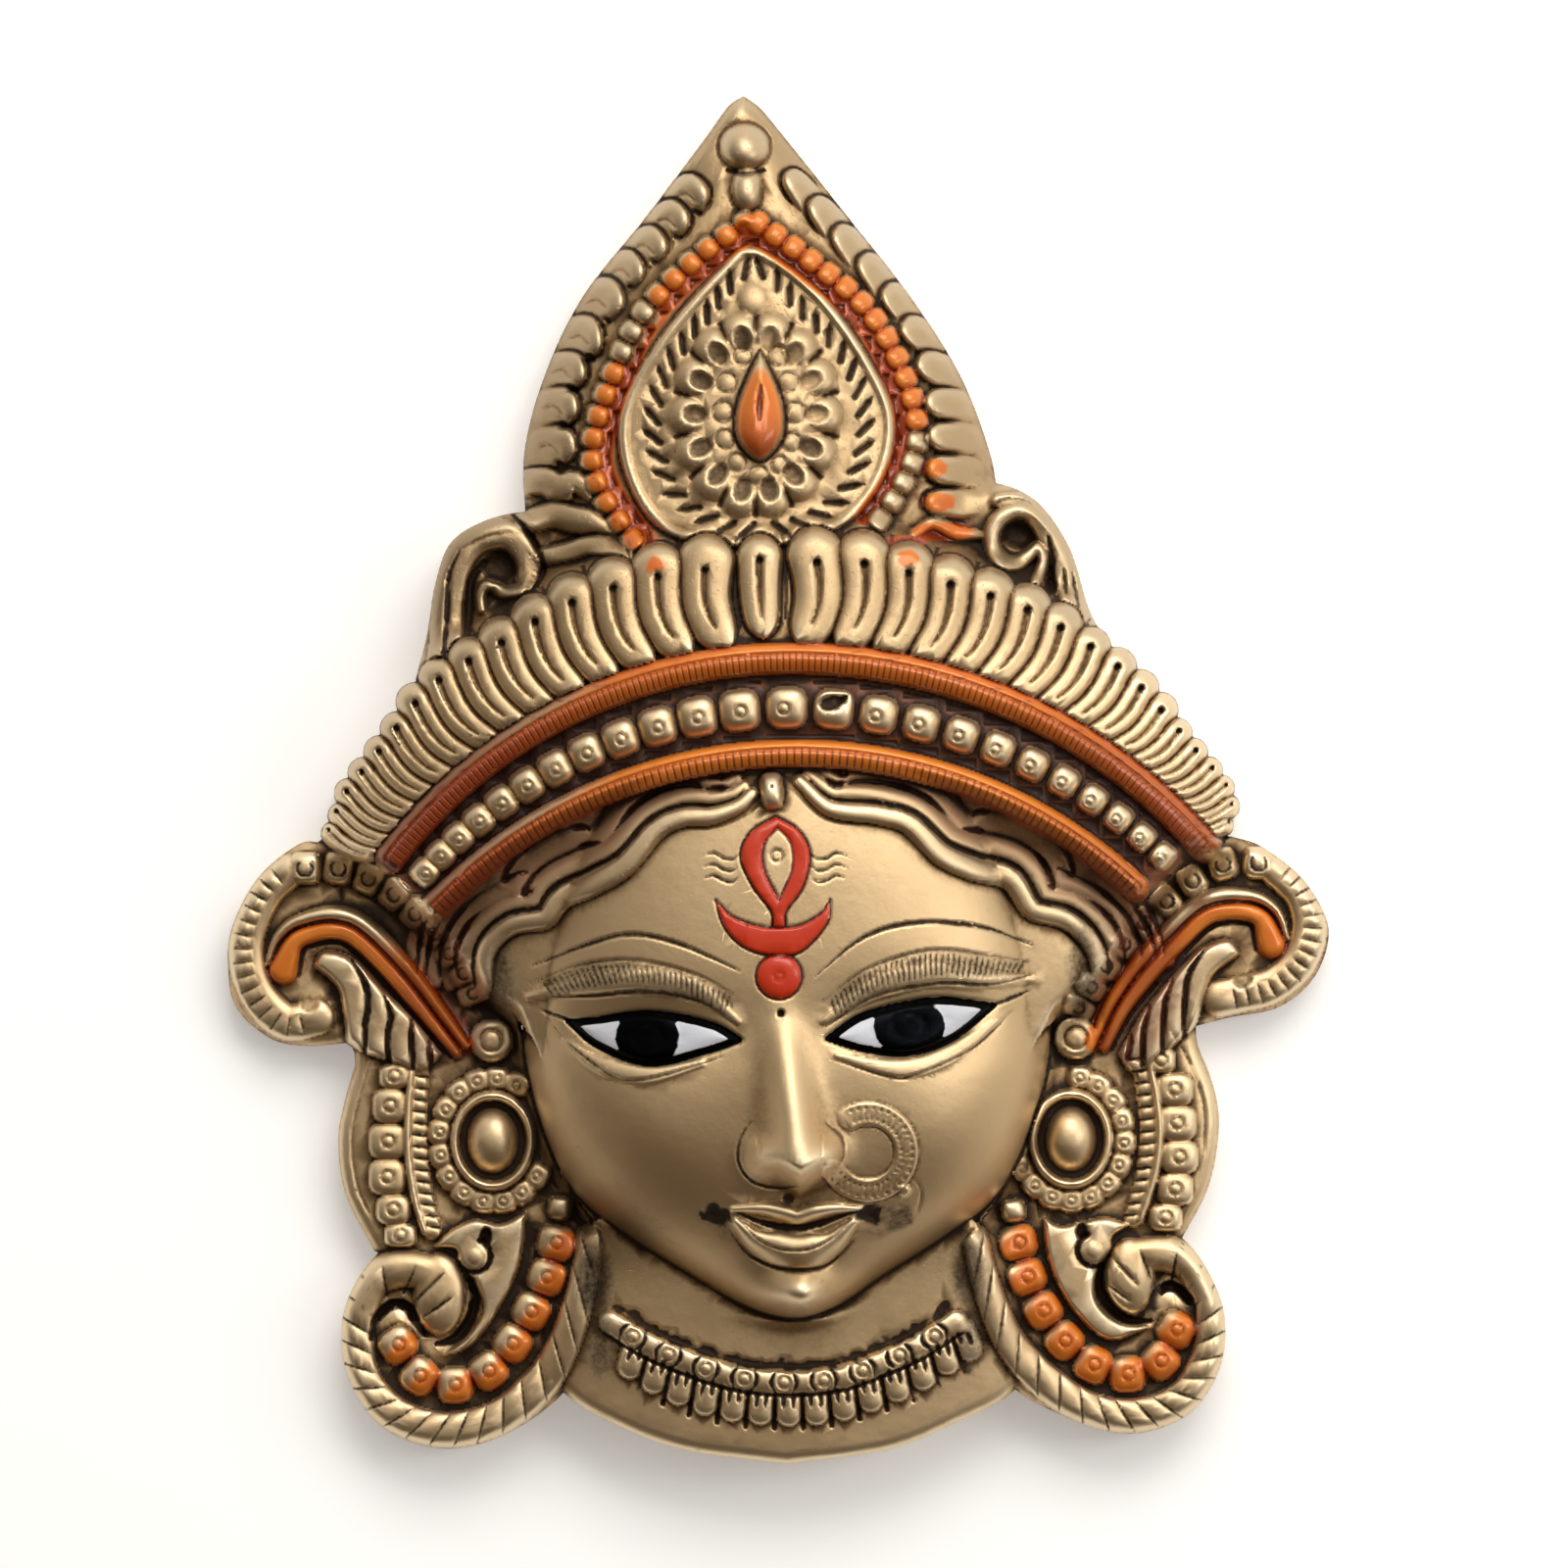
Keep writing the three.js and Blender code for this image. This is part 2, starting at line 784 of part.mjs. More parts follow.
const TAIL_LEFT = {
  border: [
    [-67, -49],
    [-77.6, -35],
    [-91.8, -22],
    [-106.3, -19],
    [-117.5, -28],
    [-121, -40],
    [-118, -51],
    [-108, -56],
  ],
  crescent: [
    [-112, -43],
    [-111.5, -35.5],
    [-103, -31],
    [-92, -34.5],
    [-81, -45],
    [-72, -61],
  ],
  feathers: [
    [
      [-104.9, -41],
      [-98.5, -46.5],
      [-96.2, -60],
    ],
    [
      [-96.2, -40.5],
      [-92, -48],
      [-91, -61],
    ],
    [
      [-88.7, -46],
      [-85.4, -53],
      [-84.5, -64],
    ],
    [
      [-81, -54],
      [-77.5, -60],
      [-77, -66],
    ],
  ],
  rosette: [-64.4, -59.4],
};
const TAIL_RIGHT = {
  border: [
    [67.5, -51],
    [77.6, -37],
    [91, -23.5],
    [105, -17.6],
    [116.5, -24],
    [120.8, -34],
    [117.5, -44],
    [108, -48.5],
  ],
  crescent: [
    [111, -38],
    [109.5, -31],
    [102, -27],
    [92, -32],
    [82, -43],
    [74, -60],
  ],
  feathers: [
    [
      [104, -37],
      [97.5, -42],
      [95.5, -56],
    ],
    [
      [92.5, -41],
      [90.5, -48],
      [91, -58],
    ],
    [
      [87, -46],
      [85.5, -53],
      [85.5, -60],
    ],
    [
      [81, -53],
      [79.5, -59],
      [79, -65],
    ],
  ],
  rosette: [66.9, -58.3],
};

// The ear disc: rings from its boss outwards, with a beaded rim.
const DISC_RINGS = [
  { share: 0, rise: 6.4 },
  { share: 0.4, rise: 2 },
  { share: 0.56, rise: 4.2 },
  { share: 0.7, rise: 1 },
  { share: 0.84, rise: 3.6, gap: 1.2 },
  { share: 1, rise: -1.5 },
];

const DISC_SPOKES = 20;

function earOrnaments(disc, columnTop, columnX, columnCount) {
  const sign = Math.sign(disc[0]);
  const rim = Array.from({ length: DISC_SPOKES }, (_, i) => {
    const turn = (i / DISC_SPOKES) * 2 * Math.PI;
    return [disc[0] + 14.6 * Math.sin(turn), disc[1] + 17 * Math.cos(turn)];
  });
  const rise = (x, y, share) => {
    const ring = DISC_RINGS.find((r) => r.share === share);
    const turn = Math.atan2(x - disc[0], (y - disc[1]) / 1.16) / (2 * Math.PI);
    const spoke = Math.round(turn * DISC_SPOKES);
    return wingHeight(x, y) + (ring.gap !== undefined && spoke % 2 === 0 ? ring.gap : ring.rise);
  };
  const shares = DISC_RINGS.map((ring) => ring.share);
  const column = Array.from({ length: 3 }, (_, i) => [
    columnX + (i === 1 ? sign * 2.6 : 0),
    columnTop + 4 - (i / 2) * 8 * columnCount,
  ]);
  return [
    mound(rim, disc, shares, rise, (x, y) => wingHeight(x, y) - ROOT),
    rib(column, 7.6, 2.8, wingHeight, { beads: columnCount }),
  ];
}

function tasselOrnaments(side) {
  return [
    rib(side.rope, 8.5, 3, wingHeight, { pitch: 16 }),
    bead(side.head[0], side.head[1], 6, 6.6, 4, wingHeight, 8),
    rib(side.leaf, 8, 3, wingHeight, { taperStart: 0.3, taperEnd: 0.3 }),
    rib(side.beads, 8, 3.4, wingHeight, { beads: 9 }),
  ];
}

const TASSEL_LEFT = {
  rope: [
    [-83, -111],
    [-92, -116],
    [-94.4, -128],
    [-88, -141],
    [-75, -146.6],
    [-60, -141.5],
    [-49, -129],
    [-43.5, -116],
    [-42.5, -104],
  ],
  head: [-77, -118],
  leaf: [
    [-77, -104],
    [-68, -103],
    [-61, -106],
    [-64, -119],
    [-71, -126],
  ],
  beads: [
    [-48.7, -97],
    [-52.5, -112.5],
    [-59.7, -126.8],
    [-72.3, -137],
    [-82, -133.5],
    [-85, -126],
  ],
};
const TASSEL_RIGHT = {
  rope: [
    [85, -107.5],
    [94.5, -113],
    [96.8, -126],
    [90.5, -138],
    [78, -143.2],
    [64, -138.5],
    [52, -127],
    [46.5, -114],
    [45, -102],
  ],
  head: [80, -113],
  leaf: [
    [80, -101.5],
    [70, -102],
    [65, -106],
    [69, -117],
    [78, -123],
  ],
  beads: [
    [52.9, -98],
    [56, -112.2],
    [64, -126.4],
    [76, -134],
    [87, -130.6],
    [89.6, -122],
  ],
};

// The ball and the drop under the tip of the crown
function tipOrnaments() {
  return [bead(-7.6, 142.1, 6, 5.3, 4.4, peakHeight, 6), bead(-7, 132.6, 3.3, 4.6, 3, peakHeight, 5)];
}

function hookOrnaments() {
  const left = [
    [-74, 31],
    [-74, 47],
    [-69, 53.5],
    [-62, 57],
    [-56.4, 53],
    [-56, 46],
    [-61, 42.5],
    [-66.5, 42],
  ];
  const right = [
    [69, 36],
    [64, 51],
    [56, 59.5],
    [49, 58],
    [48.5, 51],
    [54, 47.5],
  ];
  return [
    rib(left, 5.6, 3, hookHeight, { pitch: 8, taperEnd: 0.2 }),
    rib(right, 5.6, 3, hookHeight, { pitch: 8, taperEnd: 0.2 }),
  ];
}

// Hair, eyes, lids, brow lines, the mark on the brow and the necklace

function almond(outer, inner, upper, lower) {
  const runs = [
    [outer, upper[0], upper[1], inner],
    [inner, lower[0], lower[1], outer],
  ];
  const centre = [(outer[0] + inner[0]) / 2, (upper[0][1] + lower[0][1]) / 2];
  const top = (x, y, share) => faceHeight(x, y) + 2.8 - 3.4 * share * share;
  return mound(outlineOf(runs, 9), centre, [0, 0.7, 1], top, (x, y) => faceHeight(x, y) - 2);
}

function faceOrnaments() {
  const lid = { pitch: 13, taperStart: 0.3, taperEnd: 0.3 };
  const upperLeft = [
    [-54, -51.5],
    [-41, -51],
    [-28, -49.7],
    [-16, -51.6],
    [-7, -57],
  ];
  const upperRight = [
    [9, -57.5],
    [20, -50.5],
    [33, -47],
    [45, -47.6],
    [56, -46],
  ];
  const flame = [
    [-0.5, -8.4],
    [-7.4, -15],
    [-5.6, -23],
    [0.2, -30.5],
    [5.4, -23],
    [6.6, -15],
  ];
  const crescent = [
    [-13.6, -27.5],
    [-7, -34.6],
    [0, -36.4],
    [6, -34.6],
    [11.3, -27.5],
  ];
  const above = (x, y) => faceHeight(x, y) + 1;
  const beneath = (x, y) => faceHeight(x, y) - 2;
  return [
    almond([-47, -54.5], [-8.5, -58.5], [[-38, -52.6], [-22, -52.4]], [[-20, -62.4], [-37, -62]]),
    almond([48, -51], [11, -58.4], [[37, -49], [22, -51]], [[22, -61.4], [37, -59.2]]),
    rib(upperLeft, 4, 2.2, faceHeight, lid),
    rib(upperRight, 4, 2.2, faceHeight, lid),
    mound(outlineOf([flame], 6), [0, -18], [0, 1], above, beneath),
    rib(crescent, 6, 1.6, faceHeight, { pitch: 9, taperStart: 0.4, taperEnd: 0.4 }),
    bead(0.2, -44, 5, 5, 1.6, faceHeight, 7),
  ];
}

// Each side of the hair is one strip from the parting to the ear, with three locks across it.
function hairSide(hairline, sign) {
  const hairHeight = (x, y) => Math.max(faceHeight(x, y), headHeight(x, y));
  const half = (t) => mix(3.5, 8.5, Math.min(1, 2 * t));
  const lockRise = (across) => (Math.round((across + 1) * 3) % 2 === 1 ? 2.4 : 0.2);
  const top = (x, y, across) => hairHeight(x, y) + (Math.abs(across) === 1 ? -SUNK : lockRise(across));
  const path = smoothPath(hairline.map(([x, y], i) => [x + sign * 0.9 * i, y + 3 + 0.9 * i]));
  return strip(path, 7, 6, half, top, (x, y) => hairHeight(x, y) - ROOT);
}

function hairOrnaments() {
  const left = [
    [-4, -6],
    [-15, -9],
    [-27, -13],
    [-37, -23],
    [-49, -28.5],
    [-59, -33.5],
    [-65, -46],
  ];
  const right = [
    [4, -2.5],
    [15, -8],
    [27, -11],
    [38, -19],
    [51, -24],
    [62, -32],
    [69, -44],
  ];
  return [hairSide(left, -1), hairSide(right, 1), bead(-1.4, -2.6, 3, 4.6, 3.4, faceHeight, 6)];
}

function neckOrnaments() {
  const band = [
    [-38.4, -123],
    [-22, -130],
    [-5.7, -134.4],
    [12, -134.6],
    [28, -129.6],
    [41.8, -122],
  ];
  const pendants = [
    [-37, -129],
    [-18, -138.4],
    [3, -141.8],
    [24, -137.8],
    [44.5, -127],
  ];
  return [
    rib(band, 7.5, 3, neckHeight, { pitch: 18 }),
    rib(pendants, 8, 2.4, neckHeight, { beads: 9 }),
  ];
}

const relief = joined([
  ...bodies(),
  ...tipOrnaments(),
  ...hookOrnaments(),
  ...tailOrnaments(TAIL_LEFT),
  ...tailOrnaments(TAIL_RIGHT),
  ...earOrnaments([-64.4, -81.4], -71, -85.6, 5),
  ...earOrnaments([65.8, -81], -63.4, 87, 5),
  ...tasselOrnaments(TASSEL_LEFT),
  ...tasselOrnaments(TASSEL_RIGHT),
  ...faceOrnaments(),
  ...hairOrnaments(),
  ...neckOrnaments(),
]).subtract(joined(hollows()));
// Pockets closed in between two grounds are left solid: only the outer skin is kept.
const castMask = relief.decompose().sort((a, b) => b.volume() - a.volume())[0];

function meshOf(made, name, material) {
  const { numProp, numVert, vertProperties, triVerts } = made.getMesh();
  const corners = new Float32Array(3 * numVert);
  for (let i = 0; i < numVert; i++) {
    corners.set(vertProperties.subarray(i * numProp, i * numProp + 3), 3 * i);
  }
  const geometry = new THREE.BufferGeometry();
  geometry.setAttribute("position", new THREE.BufferAttribute(corners, 3));
  geometry.setIndex(new THREE.BufferAttribute(triVerts, 1));
  geometry.computeVertexNormals();
  const mesh = new THREE.Mesh(geometry, material);
  mesh.name = name;
  return mesh;
}

const antiqueBrass = new THREE.MeshStandardMaterial({
  color: 0xb9a06a,
  roughness: 0.38,
  metalness: 1,
});

const wallMask = new THREE.Group();
wallMask.add(meshOf(castMask, "mask", antiqueBrass));

export default wallMask;
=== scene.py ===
"""Looks of a cast brass wall mask: a goddess face under a tall leaf crown, lying face up.

The whole casting is one height map over the back rim's plane, in millimetres. Bodies give its
ground, ornaments are raised on it and chisel lines are cut into it. The map then becomes one
closed mesh in metres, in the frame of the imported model.
"""

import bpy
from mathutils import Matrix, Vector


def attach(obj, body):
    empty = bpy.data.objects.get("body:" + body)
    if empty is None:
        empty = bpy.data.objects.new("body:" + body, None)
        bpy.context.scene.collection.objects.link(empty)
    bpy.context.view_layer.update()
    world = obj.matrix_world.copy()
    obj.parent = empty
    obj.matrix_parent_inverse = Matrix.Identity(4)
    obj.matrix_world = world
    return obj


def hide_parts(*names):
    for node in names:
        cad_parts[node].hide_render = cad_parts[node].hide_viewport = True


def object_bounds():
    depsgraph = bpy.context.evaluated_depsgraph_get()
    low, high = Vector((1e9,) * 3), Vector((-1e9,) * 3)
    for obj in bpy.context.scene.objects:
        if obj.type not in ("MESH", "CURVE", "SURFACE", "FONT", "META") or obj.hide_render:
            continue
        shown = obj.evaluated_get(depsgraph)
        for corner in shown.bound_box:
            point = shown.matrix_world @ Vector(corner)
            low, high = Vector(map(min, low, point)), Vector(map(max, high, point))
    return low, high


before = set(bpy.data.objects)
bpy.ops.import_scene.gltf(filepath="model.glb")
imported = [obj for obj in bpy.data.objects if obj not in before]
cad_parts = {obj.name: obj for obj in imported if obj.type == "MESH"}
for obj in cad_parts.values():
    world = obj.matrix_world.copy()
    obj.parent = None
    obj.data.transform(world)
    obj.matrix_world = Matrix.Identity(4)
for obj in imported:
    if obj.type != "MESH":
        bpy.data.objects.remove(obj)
cad_box = [list(corner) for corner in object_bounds()]

import math

import bpy
import numpy as np
from mathutils import Vector

MM = 0.001

# The photograph is square; its pixels have one size on the mask, and one of them is the mask's middle.
PHOTO_PIXELS = 1600
MM_PER_PIXEL = 0.22
MIDDLE_PIXEL = (794.0, 794.5)

# Sizes of the height map and of the casting, in millimetres
PITCH = 0.4
MOST_TRIANGLES = 196000
WALL = 4.5
RIM_LEVEL = 1.2
LEAST_THICKNESS = 2.5
EDGE_ROUND = 3.2
BOX_GAP = 0.03
PAINT_REACH = 1.5
STEP = 0.8
GRID_X = np.arange(-126.0, 126.0, PITCH)
GRID_Y = np.arange(-156.0, 156.5, PITCH)
X, Y = np.meshgrid(GRID_X, GRID_Y)
EVERYWHERE = (slice(None), slice(None))

ground = np.zeros_like(X)
relief = np.zeros_like(X)
cover = np.full_like(X, -9.0)
paint = {
    name: np.zeros_like(X)
    for name in ("orange", "red", "maroon_and_shade", "black", "white", "grime_and_shade", "tarnish_and_shade", "comb", "comb_place")
}


# Curves and distances


def smooth(points, closed=False):
    """Points about STEP apart on the smooth curve through the given ones."""
    p = np.asarray(points, float)
    if closed:
        ends = np.vstack([p[-1:], p, p[:2]])
    else:
        ends = np.vstack([2 * p[0] - p[1], p, 2 * p[-1] - p[-2]])
    runs = []
    for a, b, c, d in zip(ends, ends[1:], ends[2:], ends[3:]):
        steps = max(1, int(math.hypot(*(c - b)) / STEP))
        t = np.arange(steps)[:, None] / steps
        bend = (2 * a - 5 * b + 4 * c - d) * t**2 + (3 * b - a - 3 * c + d) * t**3
        runs.append(0.5 * (2 * b + (c - a) * t + bend))
    return np.vstack(runs + [p[:1] if closed else p[-1:]])


def outline(*runs):
    """A closed line of smooth runs that meet in corners."""
    parts = [smooth(run)[:-1] for run in runs]
    return np.vstack(parts + [parts[0][:1]])


def line_of(points):
    """A list of points is smoothed into a line; a ready line stays as it is."""
    return smooth(points) if isinstance(points, list) else points


def on_oval(x, y, rx, ry, turn):
    """Points on an oval at the given angles."""
    return np.stack([x + rx * np.cos(turn), y + ry * np.sin(turn)], 1)


def angle_of(way):
    return math.atan2(way[1], way[0])


def lengths_of(line):
    """How far along the line each of its points lies."""
    return np.r_[0.0, np.cumsum(np.hypot(*np.diff(line, axis=0).T))]


def along(line, share):
    """Place and direction at a share of the line's length."""
    reach = lengths_of(line)
    at = np.clip(share, 0, 1) * reach[-1]
    k = min(int(np.searchsorted(reach, at, side="right")) - 1, len(line) - 2)
    step = line[k + 1] - line[k]
    size = math.hypot(*step)
    return line[k] + step * (at - reach[k]) / size, step / size


def offset(line, distance):
    """The line moved to its left by a distance, which may be one number for each point."""
    steps = np.gradient(line, axis=0)
    normals = np.stack([-steps[:, 1], steps[:, 0]], 1) / np.hypot(*steps.T)[:, None]
    return line + normals * np.reshape(distance, (-1, 1))


def patch(line, reach):
    """The part of the grid within reach of a line's box, as rows and columns."""
    low, high = line.min(0) - reach, line.max(0) + reach
    cols = slice(*np.searchsorted(GRID_X, (low[0], high[0])))
    rows = slice(*np.searchsorted(GRID_Y, (low[1], high[1])))
    return rows, cols


def measure(line, reach):
    """Around a line: the patch, each point's distance to it, its side (+1 left) and length along."""
    where = patch(line, reach)
    rows0, cols0 = where[0].start, where[1].start
    distance = np.full(X[where].shape, 99.0)
    side = np.zeros_like(distance)
    place = np.zeros_like(distance)
    run = lengths_of(line)
    for k in range(len(line) - 1):
        rows, cols = patch(line[k : k + 2], reach)
        step = line[k + 1] - line[k]
        size = step @ step
        if size == 0:
            continue
        gx, gy = X[rows, cols] - line[k][0], Y[rows, cols] - line[k][1]
        t = np.clip((gx * step[0] + gy * step[1]) / size, 0, 1)
        gap = np.hypot(gx - t * step[0], gy - t * step[1])
        local = (
            slice(rows.start - rows0, rows.stop - rows0),
            slice(cols.start - cols0, cols.stop - cols0),
        )
        closer = gap < distance[local]
        distance[local][closer] = gap[closer]
        side[local][closer] = np.sign(step[0] * gy - step[1] * gx)[closer]
        place[local][closer] = (run[k] + t * math.sqrt(size))[closer]
    return where, distance, side, place


def inside(line, where):
    """True for the patch's points within a closed line."""
    px, py = X[where], Y[where]
    hit = np.zeros(px.shape, bool)
    for (ax, ay), (bx, by) in zip(line, line[1:]):
        if ay != by:
            hit ^= ((ay > py) != (by > py)) & (px < (bx - ax) * (py - ay) / (by - ay) + ax)
    return hit


def depth_within(line, reach):
    """Around a closed line: the patch, which points lie within, and their distance, negative outside."""
    where, distance, _, _ = measure(line, reach)
    within = inside(line, where)
    return where, within, np.where(within, distance, -distance)


def fall(value, low, high):
    """A smooth step from 0 at low to 1 at high."""
    t = np.clip((value - low) / (high - low), 0, 1)
    return t * t * (3 - 2 * t)


def swell(x, y, cx, cy, sx, sy, height):
    """A soft hill, or a dip if the height is negative."""
    return height * np.exp(-(((x - cx) / sx) ** 2) - ((y - cy) / sy) ** 2)


def blur(image, spread):
    """A soft copy of a map: three box means on each axis, spread in millimetres."""
    half = max(1, int(round(spread / PITCH)))
    out = image
    for axis in (0, 1):
        for _ in range(3):
            pad = [(0, 0), (0, 0)]
            pad[axis] = (half + 1, half)
            total = np.cumsum(np.pad(out, pad, mode="edge"), axis=axis)
            high = np.take(total, range(2 * half + 1, total.shape[axis]), axis=axis)
            low = np.take(total, range(0, total.shape[axis] - 2 * half - 1), axis=axis)
            out = (high - low) / (2 * half + 1)
    return out


def noise(spread, seed):
    """Even random waves of about the given size, from -1 to 1."""
    raw = np.random.default_rng(seed).normal(size=X.shape)
    soft = blur(raw, spread)
    return np.clip(soft / (2.5 * soft.std()), -1, 1)


# Tools of the relief


def colour(name, where, amount):
    paint[name][where] = np.maximum(paint[name][where], amount)


def bare(where, amount):
    """Wipes lacquer off."""
    for name in ("orange", "maroon_and_shade", "comb"):
        paint[name][where] *= 1 - amount


def paint_oval(name, x, y, rx, ry, fade, amount=1.0):
    """An oval patch of a paint that fades out towards its rim."""
    where, u, v = oval(x, y, rx, ry)
    colour(name, where, amount * fall(1 - np.hypot(u, v), 0, fade))


def raise_to(where, shape, on=False):
    """Lifts the relief to a shape, or by it."""
    relief[where] = relief[where] + shape if on else np.maximum(relief[where], shape)


def rounded(distance, half, height, power=0.5):
    """A round profile: its height at a distance from the middle."""
    return height * np.clip(1 - (distance / half) ** 2, 0, 1) ** power


def rib(points, width, height, start=1.0, end=1.0, on=False, power=0.5):
    """A round rib along a curve. start and end are its size there, as a share of the middle's."""
    line = line_of(points)
    where, distance, _, place = measure(line, width / 2 + 1)
    share = place / lengths_of(line)[-1]
    size = np.interp(share, (0, 0.35, 0.65, 1), (start, 1, 1, end))
    half = width / 2 * size
    raise_to(where, rounded(distance, half, height * size**0.7, power), on)


def cut(points, width, depth, start=1.0, end=1.0, grime_and_shade=0.6):
    """A chisel line along a curve. start and end are as in rib; grime is how dark it is."""
    line = line_of(points)
    where, distance, _, place = measure(line, width / 2 + 0.6)
    share = place / max(lengths_of(line)[-1], 1e-6)
    size = np.interp(share, (0, 0.3, 0.7, 1), (start, 1, 1, end))
    shape = np.clip(1 - distance / (width / 2 * size + 1e-6), 0, 1) ** 0.8
    relief[where] -= depth * size * shape
    colour("grime_and_shade", where, grime_and_shade * fall(width / 2 * size + 0.25 - distance, 0, 0.4))


def tick(x, y, angle, length, width, depth=0.5, grime_and_shade=0.6):
    """A short straight chisel cut centred on a point; the angle is in radians."""
    half = np.array([math.cos(angle), math.sin(angle)]) * length / 2
    middle = np.array([x, y])
    cut(np.array([middle - half, middle, middle + half]), width, depth, 0.5, 0.5, grime_and_shade)


def oval(x, y, rx, ry, turn=0.0):
    """The patch around an oval and how far out each point lies on its two axes, 1 at the rim."""
    reach = max(rx, ry) + 1
    where = patch(np.array([[x, y]]), reach)
    gx, gy = X[where] - x, Y[where] - y
    c, s = math.cos(turn), math.sin(turn)
    return where, (gx * c + gy * s) / rx, (gy * c - gx * s) / ry


def dome(x, y, rx, ry, height, turn=0.0, square=2.0, on=False, paints=None, power=0.5):
    """A bead or boss; square above 2 gives it flatter sides."""
    where, u, v = oval(x, y, rx, ry, turn)
    out = (np.abs(u) ** square + np.abs(v) ** square) ** (1 / square)
    raise_to(where, height * np.clip(1 - out**2.2, 0, 1) ** power, on)
    if paints:
        colour(paints, where, fall(1.08 - out, 0, 0.12))


def dish(x, y, rx, ry, depth, turn=0.0, grime_and_shade=0.7):
    """A punched or drilled hollow."""
    where, u, v = oval(x, y, rx, ry, turn)
    out = np.hypot(u, v)
    relief[where] -= depth * np.clip(1 - out**3, 0, 1)
    colour("grime_and_shade", where, grime_and_shade * fall(1.05 - out, 0, 0.3))


def punch(x, y, radius, depth, dot=False):
    """A ring punch, with or without a dot in its middle."""
    reach = radius + 0.8
    where, u, v = oval(x, y, reach, reach)
    out = np.hypot(u, v) * reach
    ring = np.exp(-(((out - radius) / 0.3) ** 2))
    relief[where] -= depth * ring
    colour("grime_and_shade", where, 0.75 * ring)
    if dot:
        core = np.exp(-((out / 0.32) ** 2))
        relief[where] -= 0.6 * depth * core
        colour("grime_and_shade", where, 0.5 * core)


def plateau(line, height, edge, on=False, paints=None, floor=0.0):
    """A raised field with rounded edges within a closed line."""
    where, within, depth = depth_within(line, edge + 0.5)
    lift = np.clip(depth / edge, 0, 1)
    raise_to(where, np.where(within, floor + (height - floor) * np.sqrt(1 - (1 - lift) ** 2), 0), on)
    if paints:
        colour(paints, where, fall(depth, -0.25, 0.25))


def body(line, height):
    """A body of the casting: its ground within a closed line, which also widens the outline."""
    where, within, depth = depth_within(line, 8)
    cover[where] = np.maximum(cover[where], np.minimum(depth, 9))
    ground[where] = np.maximum(ground[where], np.where(within, height(X[where], Y[where]), 0))


def spaced(count, first, last):
    """Shares of a length after each of a number of steps that change evenly in size."""
    reach = np.r_[0.0, np.cumsum(np.linspace(first, last, count))]
    return reach / reach[-1]


# Ground heights, as in the solid model


def crown_axis(y):
    """The crown leans a little to the left."""
    return -3.5 - 0.045 * (y - 40)


def peak_height(x, y):
    width = np.interp(y, (30, 65, 82.4, 100, 117.6, 135, 154), (56, 54, 50.4, 42, 29.4, 15.8, 0.5))
    crest = np.interp(y, (25, 60, 100, 135, 154), (36, 31, 24, 15, 9))
    across = np.clip(np.abs(x - crown_axis(y)) / width, 0, 1)
    return 5 + (crest - 5) * np.sqrt(1 - across**2)


class Arc:
    """A band over the brow: its two halves leave the crest at one height, on unlike radii."""

    def __init__(self, x, y, left, right):
        self.x, self.y, self.left, self.right = x, y, left, right

    def at(self, x):
        """Its height in the picture at x."""
        radius = np.where(x < self.x, self.left, self.right)
        return self.y - radius + np.sqrt(np.maximum(0, radius**2 - (x - self.x) ** 2))

    def line(self, x_from, x_to, count=160):
        x = np.linspace(x_from, x_to, count)
        return np.stack([x, self.at(x)], 1)


UPPER_BAND = Arc(3, 26.8, 113, 123)
BEAD_ROW = Arc(3, 15.8, 110, 121)
LOWER_BAND = Arc(4, 5.6, 112, 111)


def tiara_height(x, y):
    across = np.clip((x - 2) / 104, -1, 1)
    round_ = np.sqrt(1 - across**2)
    above = np.maximum(0, y - UPPER_BAND.at(x) - 3)
    return 10 + 33 * round_ - 0.26 * above * round_


def wing_height(x, y):
    return 12.8 - 0.08 * (np.abs(x) - 60)


def hook_height(x, y):
    return 21 - 0.12 * (np.abs(x) - 55) - 0.1 * (y - 40)


def head_height(x, y):
    inner = np.maximum(0, 1 - ((x - 2) / 80) ** 2 - ((y + 30) / 80) ** 2)
    return 11 + 26 * inner**0.45


def neck_height(x, y):
    across = np.clip((x - 2) / 56, -1, 1)
    return 9 + 11 * np.sqrt(1 - across**2) + 0.08 * (y + 150)


def face_dome(x, y):
    """The egg of the face, which narrows to the chin."""
    bend = 2 - 0.38 * fall(-y, 88, 114)
    across, up = np.abs(x - 2) / 59.5, np.abs(y + 52) / np.where(y < -52, 69.5, 84)
    reach = (across**bend + up**bend) ** (1 / bend)
    return 16 + 32 * np.clip(1 - reach**2.6, 0, 1) ** 0.55


FACE_SWELLS = (  # middle, spreads and height
    (-3.4, -84.3, 3.9, 4.4, 4.2), (11.6, -83.5, 3.7, 4.4, 4.0),  # sides of the nose
    (-30, -56, 21, 8, -3.2), (32, -54, 21, 8, -3.2),  # eye sockets
    (-30, -82, 16, 14, 2), (38, -80, 16, 14, 2),  # cheeks
    (5, -116.2, 11, 6.0, 9.4), (6, -116.4, 4.6, 7, 3.2),  # chin
)


def face_height(x, y):
    """The dome with the nose, which widens downwards, and the swells."""
    down = np.clip((-52 - y) / 36, 0, 1)
    ridge = 0.6 + 4.4 * down
    half = 4.0 + 2.9 * down
    bridge = (1.5 + 12.6 * down**1.25) * fall(-y, 44, 58)
    end = fall(y - 0.4 * np.abs(x - 5), -94, -85.5)
    nose = bridge * np.exp(-((np.abs(x - ridge) / half) ** 2.2)) * end
    height = face_dome(x, y) + nose
    for form in FACE_SWELLS:
        height = height + swell(x, y, *form)
    return height


# Bodies of the casting

